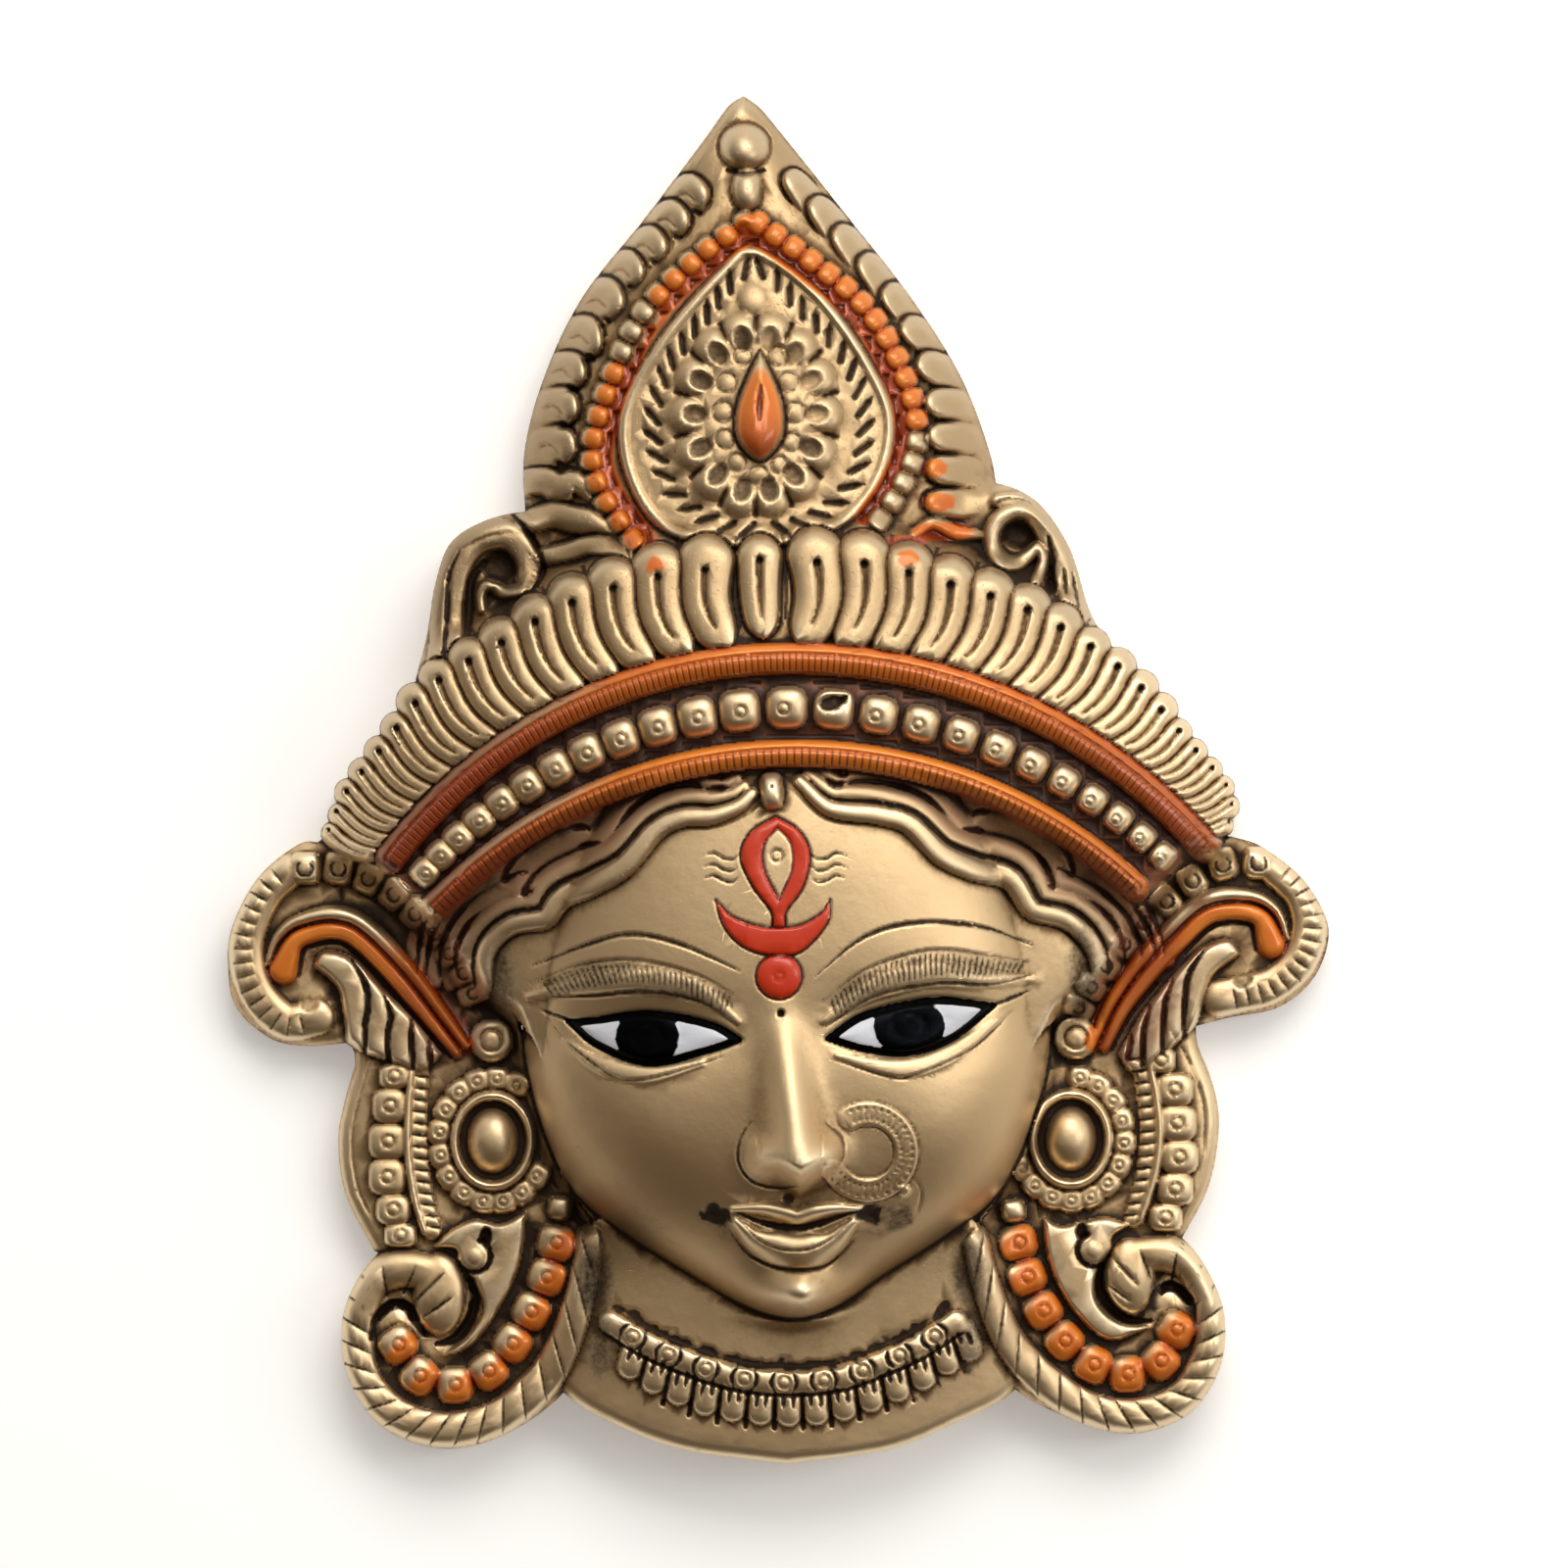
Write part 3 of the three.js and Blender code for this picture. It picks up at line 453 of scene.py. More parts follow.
PEAK = outline(
    [(-7.8, 154), (-11.4, 151.4), (-16.7, 144), (-30, 126.4), (-44, 108.8), (-52.6, 91), (-57.2, 73.6),
     (-56.8, 58)],
    [(-56.8, 58), (-48, 34), (-3, 24), (42, 34), (49.3, 64)],
    [(49.3, 64), (47.7, 73.6), (41, 91), (29.7, 108.8), (16, 126.4), (2, 144), (-4, 151.2), (-7.8, 154)],
)
HEAD = smooth(
    [(-77, -30), (-66, -6), (-40, 14), (3, 28), (44, 14), (70, -6), (80, -28), (72, -46), (57, -60),
     (54, -84), (44, -104), (2, -116), (-40, -104), (-50, -84), (-54, -60), (-68, -46)],
    closed=True,
)
NECK = outline(
    [(-53, -128), (-48.4, -138), (-36.2, -145.4), (-21, -150.9), (2, -154)],
    [(2, -154), (24.8, -150.8), (40, -144.8), (53, -137.8), (56, -128)],
    [(56, -128), (45, -100), (2, -92), (-42, -100), (-53, -128)],
)
TAIL_LEFT = outline(
    [(-101.5, -11), (-103.5, -14.2), (-108, -14.7), (-117, -22), (-123, -33), (-124.1, -42),
     (-122.3, -51.5), (-114.5, -58.6), (-106, -60.3), (-97.4, -59.6)],
    [(-97.4, -59.6), (-95.6, -61.5), (-95.4, -68)],
    [(-95.4, -68), (-66, -72), (-58, -56), (-70, -30), (-86, -14), (-101.5, -11)],
)
TAIL_RIGHT = outline(
    [(102, -13), (109, -15.3), (118, -22.4), (123.6, -31.5), (123.7, -38.5), (120, -46),
     (112.6, -51.7), (102, -53.8), (94.2, -55.8)],
    [(94.2, -55.8), (94.6, -60), (97.6, -68)],
    [(97.6, -68), (68, -72), (60, -56), (72, -30), (88, -14), (102, -13)],
)
EAR_EDGES = {  # outer edges, left and right
    -1: [(-94.6, -62), (-97.8, -73), (-99.2, -82), (-97.4, -94), (-91, -106.5)],
    1: [(91, -55), (95.5, -62.5), (98.8, -72), (99.2, -81), (96.8, -92.5), (90.8, -104)],
}
EAR_LEFT = outline(
    EAR_EDGES[-1],
    [(-91, -106.5), (-70, -112), (-48, -104), (-46, -80), (-56, -58), (-76, -54), (-94.6, -62)],
)
EAR_RIGHT = outline(
    EAR_EDGES[1],
    [(90.8, -104), (72, -112), (50, -104), (48, -80), (56, -58), (72, -52), (91, -55)],
)
TASSEL_LEFT = outline(
    [(-89, -105.5), (-94.6, -112.5), (-98.2, -122), (-97.2, -134), (-89.5, -145.8), (-76, -150.9),
     (-62, -147.9), (-48, -137.8), (-41.6, -122.7), (-38.6, -106)],
    [(-38.6, -106), (-52, -94), (-76, -94), (-89, -105.5)],
)
TASSEL_RIGHT = outline(
    [(89, -101.5), (95.4, -108.5), (100.4, -120), (99.6, -132.5), (92.4, -143.2), (79, -147.6),
     (64, -143.4), (51, -135), (43, -117), (41, -103)],
    [(41, -103), (54, -92), (78, -92), (89, -101.5)],
)
HOOK_LEFT = outline(
    [(-50, 58), (-56, 60), (-65, 58.3), (-73.4, 53.2), (-77, 44), (-79, 32), (-81.4, 22)],
    [(-81.4, 22), (-60, 20), (-40, 34), (-50, 58)],
)
HOOK_RIGHT = outline(
    [(44, 66), (50, 66.3), (58.4, 62), (65.6, 51.5), (70.3, 36.6), (76, 28)],
    [(76, 28), (60, 26), (38, 40), (44, 66)],
)
PETAL_TIPS = {  # lines through the petals' tips, left and right of the middle one
    -1: smooth([(-4, 53), (-26.8, 50), (-47.6, 43.3), (-63.4, 34), (-78.6, 24.4), (-89.5, 10.8),
                (-98.4, -0.6), (-102.6, -9.8)]),
    1: smooth([(-4, 53), (17.5, 53), (38, 48), (56, 42), (71, 33), (82, 24), (93.6, 10.6), (103, -1.2),
               (102, -12)]),
}
PETAL_FEET = {
    -1: smooth([(-3, 31.5), (-22, 28.3), (-44.8, 20), (-66, 7.2), (-83.2, -8), (-91, -16)]),
    1: smooth([(-3, 31.5), (18, 29.5), (43.3, 23.6), (63.5, 14.8), (83, 1.8), (97, -13.2)]),
}


def face_outline():
    """An egg: longer below its middle than above."""
    turn = np.linspace(0, 2 * np.pi, 200)
    up = np.where(np.cos(turn) > 0, 60, 69.5)
    return np.stack([2 + 59.5 * np.sin(turn), -52 + up * np.cos(turn)], 1)


def tiara_outline():
    """From the lower band's lower edge up to a little short of the petals' tips."""
    lower = offset(LOWER_BAND.line(-80, 83), -3.0)
    right = offset(PETAL_TIPS[1], -3.5)
    left = offset(PETAL_TIPS[-1], 3.5)
    return np.vstack([lower, right[::-1], left, lower[:1]])


FACE = face_outline()
TIARA = tiara_outline()
ON_FACE = inside(FACE, EVERYWHERE)


def petal_axes():
    """Each petal's bent middle line from tip to foot, and its width: sickles on both sides."""
    axes = [(smooth([(-4.1, 53), (-4.1, 42), (-3.2, 31.2)]), 10.6)]
    t = np.linspace(0, 1, 7)[:, None]
    for side, count, first, last in ((-1, 15, 12, 5), (1, 18, 12, 4)):
        for k, share in enumerate(spaced(count, first, last)[1:]):
            tip, _ = along(PETAL_TIPS[side], share)
            foot, _ = along(PETAL_FEET[side], share)
            chord = foot + (2.2 * -side, -0.6) - tip
            out = np.array([-chord[1], chord[0]]) / math.hypot(*chord) * side
            bow = 0.15 * math.hypot(*chord) * 4 * t * (1 - t) * (0.7 + 0.6 * t)
            gap = first + (last - first) * k / (count - 1)
            axes.append((smooth(tip + chord * t + out * bow), 0.6 + 1.05 * gap))
    return axes


def petal_field(line, width):
    """Around a petal: the patch, distance to its middle, half width there and share of its length."""
    line = line[4:]
    where, distance, _, place = measure(line, width / 2 + 2)
    share = np.clip(place / lengths_of(line)[-1], 0, 1)
    half = np.maximum(width / 2 * (1 - 0.22 * share) * (1 - share**9) ** 0.6, 1e-3)
    return where, distance, half, share


PETALS = petal_axes()


def make_bodies():
    """The ground of every body, with a soft foot where they meet; the face keeps its clear edge."""
    for line in (TAIL_LEFT, TAIL_RIGHT, EAR_LEFT, EAR_RIGHT, TASSEL_LEFT, TASSEL_RIGHT):
        body(line, wing_height)
    for line, height in (
        (PEAK, peak_height), (HOOK_LEFT, hook_height), (HOOK_RIGHT, hook_height), (NECK, neck_height),
        (HEAD, head_height), (FACE, face_height), (TIARA, tiara_height),
    ):
        body(line, height)
    for line, width in PETALS:
        where, distance, half, _ = petal_field(line, width)
        cover[where] = np.maximum(cover[where], half - distance)
        near = np.where(distance < half + 0.8, tiara_height(X[where], Y[where]), 0)
        ground[where] = np.maximum(ground[where], near)
    metal = (cover > 0).astype(float)
    soft = blur(ground * metal, 1.7) / np.maximum(blur(metal, 1.7), 1e-3)
    face = blur(ON_FACE.astype(float), 0.6)
    ground[:] = np.where(cover > -1.5, face * ground + (1 - face) * soft, ground)


# Ornaments of the crown's peak

ROSETTE = (-4.6, 81.5)
ROSETTE_LOBES = 14
STRING_LEFT = [(-6, 126), (-17.1, 118.4), (-29.8, 105.7), (-36.9, 92), (-41.9, 76), (-40.5, 65),
               (-32.2, 52.2)]
STRING_RIGHT = [(-6, 126), (7, 116.8), (20, 105.7), (28.4, 91), (31.4, 77), (28, 66), (22, 57)]
HATCH_OUTER = [(-5.6, 119.6), (-13.5, 114.4), (-27, 98.6), (-35.6, 82), (-33.7, 66), (-24.6, 54.6),
               (-6, 51.5), (11, 54.6), (22, 63.7), (26.4, 79.6), (20.5, 94.6), (8.6, 110.5)]
HATCH_INNER = [(-5.6, 112.8), (-15, 103), (-23.5, 91), (-26.4, 78), (-22, 65), (-13, 58.5), (-4.8, 57),
               (6, 59), (15, 67), (17.8, 80), (14, 93), (4, 104.5)]


def scale_leaf(x, y, rx, ry, turn, crease):
    """A leaf that lies over the next one, its steep tip pointing along turn; or the crease round it."""
    where, u, v = oval(x, y, rx, ry, math.radians(turn))
    out = (np.abs(u) ** 2.4 + np.abs(v) ** 2.4) ** (1 / 2.4)
    if crease:
        rim = np.exp(-(((out - 1.03) / 0.1) ** 2)) * fall(u, -0.35, 0.3)
        relief[where] -= 1.3 * rim
        colour("grime_and_shade", where, 0.95 * rim)
    else:
        rise = 4.2 * (0.55 + 0.45 * np.clip(u, -1, 1)) * np.clip(1 - out**3.5, 0, 1) ** 0.5
        raise_to(where, rise)


# Middle, half length, half width and turn in degrees, from the top down
LEAVES_LEFT = [(-20.4, 131.2, 5.0, 4.8, 48), (-24.8, 125.4, 5.2, 4.7, 42), (-29.8, 119.6, 5.2, 4.7, 36),
               (-35, 114.2, 5.2, 4.8, 34), (-40.4, 107.4, 6.2, 5.4, 28), (-44.4, 99.2, 5.2, 5.4, 12),
               (-48.4, 91.6, 5.6, 4.7, 10), (-50.2, 83.4, 5.8, 4.8, 12), (-51, 74.6, 6.2, 4.9, 8)]
LEAVES_RIGHT = [(5.6, 132, 6.2, 3.4, 128), (11.4, 125.8, 6.4, 3.6, 128), (16.8, 119.4, 6.4, 3.7, 128),
                (22.6, 113, 6.4, 3.8, 128), (28.2, 106.6, 6.2, 3.9, 134), (32.6, 99.6, 6.0, 3.9, 146),
                (36.4, 92, 6.0, 3.9, 158), (39, 84, 6.6, 3.9, 172), (39.8, 76.6, 6.8, 3.9, 176),
                (39.8, 69.2, 7.0, 3.9, 176), (39.4, 61.8, 6.8, 3.7, 180)]
WAVES_LEFT = [([(-57.4, 66.4), (-52.7, 66.8), (-48.8, 65.2), (-45.6, 66.4), (-42.6, 63.2)], 6.6),
              ([(-56.4, 57.4), (-50.7, 59.2), (-46.2, 58.2), (-41, 57.0), (-36.4, 53.6)], 6.2),
              ([(-53.6, 49.6), (-46.9, 51.0), (-42, 52.4), (-37.4, 51.8), (-31.4, 48.6)], 4.6)]


def make_peak():
    """Leaves down both edges, waves at the lower left, a knob at the tip and a hatched field."""
    for crease in (False, True):
        for leaf in LEAVES_LEFT + LEAVES_RIGHT:
            scale_leaf(*leaf, crease)
    for x, y, _, ry, _ in LEAVES_LEFT:
        dish(x + 2.2, y - ry * 0.8, 1.5, 0.9, 1.2, -0.5, 0.9)
        cut([(x - 3.4, y - 0.6), (x - 0.4, y + 0.4), (x + 1.8, y - 1.6)], 1.0, 0.7, 0.2, 0.9, 0.45)
    for points, width in WAVES_LEFT:
        line = smooth(points)
        rib(line, width, 3.2, 0.9, 0.3, power=0.35)
        cut(offset(line, width / 2 + 0.2), 1.1, 0.9, 0.6, 0.8, 0.8)
    rib([(46, 54.6), (40, 55.2), (35, 57.4), (30.4, 55)], 3.6, 2.6, 0.7, 0.6)
    for stroke in ((35, 69.6, 3.4, 2.6), (36, 62, 4.6, 2.6), (37, 55.4, 8.4, 2.6), (28, 52.8, 6, 2)):
        paint_oval("orange", *stroke, 0.3)
    dome(-7.6, 142.2, 5.6, 5.3, 4.6, power=0.6)
    dome(-7, 132.6, 3.6, 5.2, 3.6, power=0.6)
    cut([(-11.4, 136.8), (-7.2, 135.9), (-3.2, 136.8)], 1.1, 1.2, grime_and_shade=0.8)
    for x, y, rx, ry, start, end in ((-7.6, 142.2, 6.2, 5.9, -0.6, 3.8), (-7, 132.6, 4.3, 5.9, 3.6, 5.8)):
        cut(on_oval(x, y, rx, ry, np.linspace(start, end, 30)), 1.0, 0.7, 0.4, 0.4)
    make_hatching()
    make_string(STRING_LEFT, -1)
    make_string(STRING_RIGHT, 1)
    make_rosette()


def make_hatching(count=36):
    """The drop-shaped field with a rim, and slanting cuts that rise round its middle."""
    field = smooth(HATCH_OUTER, closed=True)
    inner = smooth(HATCH_INNER, closed=True)
    plateau(field, 3.0, 1.2)
    where, _, depth = depth_within(field, 12)
    relief[where] -= fall(depth, 1.6, 3.0)
    for k in range(count):
        point, way = along(inner, (k + 0.5) / count)
        outward = np.array([way[1], -way[0]])
        upward = way * (-1 if point[0] < -5 else 1)
        direction = outward * 0.66 + upward * 0.75
        base = point + outward * 0.2
        cut(np.array([base + direction * t for t in (0, 1.9, 3.8, 5.6)]), 1.7, 1.5, 1.0, 0.1, 0.8)


def make_string(points, sign, count=18):
    """A string of lacquered beads beside a lacquered channel; a few beads have lost their lacquer."""
    line = smooth(points)
    where, distance, _, _ = measure(offset(line, -3.1 * sign), 3.4)
    relief[where] -= 1.3 * fall(2.0 - distance, 0, 1.2)
    colour("orange", where, fall(2.9 - distance, 0, 1.4))
    colour("maroon_and_shade", where, 0.75 * fall(1.9 - distance, 0, 1.0))
    for k, share in enumerate(np.linspace(0.02, 0.985, count)):
        centre, way = along(line, share)
        dome(*centre, 2.5, 2.7, 2.9, angle_of(way), 3.0, power=0.42)
        worn = k in (6, 7, 8) if sign < 0 else k > 12
        inward = np.array([-way[1], way[0]]) * -sign
        where, u, v = oval(*(centre + inward * (0.0 if sign > 0 else 0.9)), 2.6, 2.6)
        out = np.hypot(u, v)
        paint["maroon_and_shade"][where] *= fall(out, 0.9, 1.1)
        if worn:
            paint["orange"][where] *= fall(out, 0.9, 1.2)
        else:
            colour("orange", where, fall(1.1 - out, 0, 0.2))


def make_rosette():
    """A scalloped field of hollow lobes round a drop, which small engraved rings surround."""
    middle = np.array(ROSETTE)
    lobes_middle = middle - (0.4, 0)
    dome(*middle, 17.6, 21.6, 3.3, power=0.35)

    def on_ring(turn, rx, ry):
        return lobes_middle + np.array([math.sin(turn), math.cos(turn)]) * (rx, ry)

    turns = [2 * math.pi * (k + 0.5) / ROSETTE_LOBES for k in range(ROSETTE_LOBES)]
    for turn in turns:
        dome(*on_ring(turn, 15.2, 19.2), 5.0, 5.0, 3.9, power=0.4)
    for turn in turns:
        worn = 0.35 if 0.2 < turn < 1.9 else 1.0
        pit = on_ring(turn, 13.6, 17.4)
        dish(*pit, 3.0, 2.2, 1.7 * (0.5 + 0.5 * worn), math.pi / 2 - turn, 0.7 * worn)
        seam = on_ring(turn + 0.224, 18.4, 22.6)
        cut(np.array([seam * (1 - t) + middle * t for t in (0, 0.1, 0.2)]), 1.5, 1.2, 1.0, 0.2, 0.6)
    dome(-5.6, 107.6, 4.6, 5.0, 3.2, power=0.5)
    for x, y, radius in ((-11.6, 88.6, 2.2), (-12.4, 82, 2.3), (-11.9, 75.8, 2.1), (-9.2, 70.6, 2.0),
                         (2.2, 88.7, 2.2), (3.7, 81.8, 2.3), (2.9, 75.2, 2.1), (0.2, 70, 1.9),
                         (-4.4, 67.6, 2.2), (-8, 94.6, 2.0), (0, 94.6, 2.2)):
        punch(x, y, radius, 0.45)
    drop = outline([(-4.0, 96), (-7.0, 90), (-9.6, 82.6), (-9.2, 75.4), (-4.2, 70.8), (0.8, 75.4),
                    (1.4, 82.6), (-1, 90), (-4.0, 96)])
    plateau(drop, 8.2, 5.6, floor=3.0)
    where, _, depth = depth_within(drop, 3)
    colour("orange", where, fall(depth, 0.4, 1.1) * fall(94.5 - Y[where], 0, 6))
    colour("maroon_and_shade", where, 0.85 * fall(depth, 0.4, 1.2) * fall(83 - Y[where], 0, 11))
    cut([(-3.9, 88), (-4.3, 80)], 1.5, 1.3, 0.5, 0.5, 0.9)
    cut(drop, 1.0, 0.8, grime_and_shade=0.7)


# Ornaments of the tiara


def make_petals():
    """Plump loops side by side. A point belongs to the petal it lies deepest in; creases part them.

    They stand before the peak and the hooks, so they replace what lies under them.
    """
    nearest, second = np.full_like(X, 9.0), np.full_like(X, 9.0)
    halves, shares = np.ones_like(X), np.zeros_like(X)
    for line, width in PETALS:
        where, distance, half, share = petal_field(line, width)
        out = distance / half
        closer = out < nearest[where]
        second[where] = np.where(closer, nearest[where], np.minimum(second[where], out))
        halves[where] = np.where(closer, half, halves[where])
        shares[where] = np.where(closer, share, shares[where])
        nearest[where] = np.where(closer, out, nearest[where])
    rise = 3.4 * (1 - np.clip(nearest, 0, 1) ** 3) ** 0.5 * (1 - 0.25 * shares) + 0.3
    relief[:] = np.where(nearest < 1, rise, relief)
    for name in ("grime_and_shade", "orange", "maroon_and_shade"):
        paint[name][nearest < 1] = 0
    gap = np.minimum(np.abs(nearest - 1), 0.6 * (second - nearest)) * halves
    crease = np.exp(-((gap / 0.42) ** 2)) * (nearest < 1.3) * (shares < 0.98)
    relief[:] -= 0.9 * crease
    colour("grime_and_shade", EVERYWHERE, 0.8 * crease)
    for line, width in PETALS:
        first = 0.4 * width / lengths_of(line)[-1]
        slot = np.array([along(line, t)[0] for t in np.linspace(first, 0.78, 14)])
        where, distance, _, place = measure(slot, 2)
        share = place / lengths_of(slot)[-1]
        wide = min(0.62, 0.07 * width) * np.interp(share, (0, 0.4, 1), (1, 0.8, 0.1))
        relief[where] -= 1.1 * fall(wide + 0.25 - distance, -0.15, 0.4)
        colour("grime_and_shade", where, 0.72 * fall(wide + 0.15 - distance, 0, 0.35))
        hole = min(1.0, 0.1 * width)
        dish(*slot[0], hole, hole, 0.9, grime_and_shade=0.98)
    paint_oval("orange", -27.6, 47.8, 2.2, 2.0, 0.2)
    paint_oval("orange", 29, 49.2, 2.6, 2.3, 0.2)


def ticked_band(arc, x_from, x_to, width, height, pitch):
    """A band of two halves: a smooth lacquered rib above and a row of fine teeth below."""
    line = arc.line(x_from, x_to)
    where, distance, side, place = measure(line, width / 2 + 1.6)
    half = width / 2
    across = distance * side
    band = rounded(distance, half, height, 0.4)
    seam = np.exp(-(((across - 0.9) / 0.35) ** 2))
    band -= 0.8 * seam * (distance < half)
    relief[where] = np.where(distance < half, band, relief[where])
    colour("orange", where, fall(half + 0.2 - distance, 0, 0.5))
    edge = 0.6 * fall(0.6 - np.abs(distance - half - 0.4), 0, 0.6)
    colour("grime_and_shade", where, edge + 0.45 * seam * (distance < half))
    teeth = fall(1.0 - across, 0, 0.3) * fall(across + half - 0.4, 0, 0.4) * (distance < half)
    stamp_comb(where, teeth, place / pitch)
    x = X[where]
    shade = np.maximum(fall(-x, 14, 84) * 0.85, fall(x, 40, 100) * 0.6)
    shade = shade + 0.25 * fall(0.6 - across, 0, 1)
    on_band = fall(half + 0.3 - distance, 0, 0.4)
    paint["maroon_and_shade"][where] = paint["maroon_and_shade"][where] * (1 - on_band) + np.clip(shade, 0, 0.9) * on_band
    rubbed = fall(across, 1.0, 1.6) * fall(-x, 20, 60)
    paint["orange"][where] *= 1 - 0.7 * rubbed * (distance < half + 1)


def stamp_comb(where, mask, place):
    """Marks a field for fine teeth; place counts them."""
    stronger = mask >= paint["comb"][where]
    paint["comb"][where] = np.where(stronger, mask, paint["comb"][where])
    paint["comb_place"][where] = np.where(stronger, place, paint["comb_place"][where])


CHIPPED_BEAD = 13


def make_tiara():
    """Petals, two ticked bands and the row of square beads in the dark channel between them."""
    make_petals()
    where, distance, _, _ = measure(BEAD_ROW.line(-84, 91), 9)
    relief[where] = np.where(distance < 6.2, np.minimum(relief[where], -0.6), relief[where])
    colour("maroon_and_shade", where, 0.95 * fall(8.2 - distance, 0, 1.5))
    # Painted shadow round the lower band, where it stands over the hair.
    where, distance, _, _ = measure(LOWER_BAND.line(-81, 84), 7)
    colour("maroon_and_shade", where, 0.9 * fall(5.6 - distance, 0, 2.4))
    ticked_band(UPPER_BAND, -87, 96, 7.2, 3.9, 1.42)
    ticked_band(LOWER_BAND, -77, 80, 6.4, 4.0, 1.7)
    row = BEAD_ROW.line(-80, 87.5)
    middle = 0.4655
    left = middle - 0.026 - (middle - 0.034) * spaced(11, 10, 5.4)
    right = middle + 0.03 + (1 - middle - 0.04) * spaced(11, 9.6, 5.8)
    for k, share in enumerate(np.r_[left, right]):
        (x, y), way = along(row, share)
        turn = angle_of(way)
        far = abs(share - middle) * 2
        long, tall = 4.95 - 1.9 * far, 5.0 - 1.75 * far
        dome(x, y, long, tall, 3.2 if k == CHIPPED_BEAD else 3.8, turn, 3.0)
        where, u, v = oval(x, y, long + 0.1, tall + 0.1, turn)
        clean = fall(1.0 - (np.abs(u) ** 3 + np.abs(v) ** 3) ** (1 / 3), 0, 0.14)
        paint["maroon_and_shade"][where] *= 1 - clean
        if k == CHIPPED_BEAD:
            dish(x - 0.6, y + 1.4, 3.2, 2.0, 1.9, 0.2, 0.95)
            dish(x + 2.0, y + 2.2, 1.6, 1.2, 1.4, 0.4, 0.95)
        else:
            shift = -0.7 if share > middle else 0.2
            punch(x + shift, y - 0.3, 1.25 - 0.3 * far, 0.5)


# Hooked scrolls beside the peak


def make_hook_left():
    """A broad flat band rises from the petals, curls round a hollow and ends in a small bent tip."""
    rib([(-75.2, 26), (-74.4, 32.8), (-74.1, 39.9), (-72.6, 47.1), (-70, 51.8), (-66.6, 54.4),
         (-61.6, 54.9), (-58.2, 52.6), (-56.2, 48.4), (-56.4, 44.6)], 7.4, 3.4, 1, 0.66, power=0.25)
    rib([(-56.2, 45.6), (-57.2, 43.2), (-59.4, 42.1), (-61.9, 41.9), (-63.9, 43.4), (-65.9, 43.1),
         (-66.8, 41), (-66.6, 38.2)], 3.3, 3.4, 0.9, 0.8)
    dish(-62.6, 47.5, 4.3, 4.0, 3.2, grime_and_shade=0.85)
    cut([(-69.3, 33), (-69.3, 40), (-68.7, 45), (-66, 48.6)], 2.3, 2.0, 0.7, 0.9, 0.95)
    dish(-61, 38.4, 4.6, 2.3, 1.4, 0.35, 0.85)
    cut([(-75, 27), (-74.3, 36), (-73.8, 45.3), (-71.5, 51)], 1.4, 1.5, 0.9, 0.4, 0.9)
    cut([(-71.5, 51), (-67.5, 53.3), (-63.2, 54.8), (-59.6, 55.2)], 0.8, 0.5, 0.6, 0.3, 0.5)
    cut([(-60, 59.6), (-57, 56.4), (-53.9, 51.4), (-52.6, 46.4), (-55, 42)], 1.7, 2.2, 0.6, 0.6, 0.95)
    for x, y in ((-55.3, 50), (-54.7, 48.8), (-54.2, 47.6), (-54, 46.4), (-54.2, 45.2), (-55, 44), (-56, 43)):
        tick(x, y, -0.5, 2.2, 0.5)


def make_hook_right():
    """Like the left one, but its curl starts anew under the band's end."""
    rib([(68.8, 33), (66.8, 39.1), (65, 46.2), (62.4, 53.2), (58.6, 58.6), (53.6, 62), (49.4, 62.4)],
        6.6, 2.8, 0.9, 0.5, power=0.25)
    rib([(60, 56.4), (57.1, 59.2), (53.4, 60.2), (49.9, 58.5), (48, 55.2), (48.2, 51.6), (50.4, 49),
         (53.6, 48.4), (56.4, 50.2), (57.9, 51.8)], 4.2, 4.0, 0.7, 0.75, power=0.4)
    rib([(57.4, 51.4), (58.6, 51.6), (59.5, 49.4), (58.8, 46.6), (57.6, 44)], 3.0, 3.6, 0.9, 0.8)
    dish(54, 54.6, 4.2, 3.3, 3.2, -0.2, 0.85)
    cut([(60.6, 54.4), (61.5, 50), (61.4, 46), (61, 42)], 1.8, 1.8, 0.5, 0.9, 0.9)
    dish(61, 43, 1.7, 2.4, 2.0, grime_and_shade=0.9)
    dish(54, 45, 3.0, 1.5, 1.2, -0.3, 0.85)
    cut([(64, 47), (64.6, 41.4)], 1.1, 1.2, 0.5, 0.8, 0.8)
    cut([(66, 46.4), (67.6, 36.4)], 1.1, 1.2, 0.5, 0.8, 0.8)
    cut([(47.4, 60.4), (50.6, 62.6), (54.4, 62.8), (57.4, 61.4)], 0.9, 0.7, 0.6, 0.3, 0.7)


# Side curls shaped like a fish's tail


def horseshoe(x, y, mouth, radius):
    """An engraved U; its mouth faces the angle given."""
    turn = mouth + np.linspace(0.8, 2 * math.pi - 0.8, 20)
    cut(on_oval(x, y, radius, radius, turn), 0.9, 0.7, 0.8, 0.8, 0.85)


def border_pads(points, mouth, count=9, first=4.8, last=7.2):
    """Pads that touch round the curl, each with a horseshoe; mouth is the side it opens to."""
    line = smooth(points)
    for k, share in enumerate(spaced(count - 1, first, last)):
        (x, y), way = along(line, share)
        turn = angle_of(way)
        long = (first + (last - first) * k / count) * 0.52
        dome(x, y, long, 3.7, 3.4, turn, 3.6, power=0.35)
        where, u, v = oval(x, y, long, 3.7, turn)
        bare(where, fall(1.15 - np.maximum(np.abs(u), np.abs(v)), 0, 0.15))
        horseshoe(x, y, turn + mouth * math.pi / 2, 1.75 * long / 3.6)


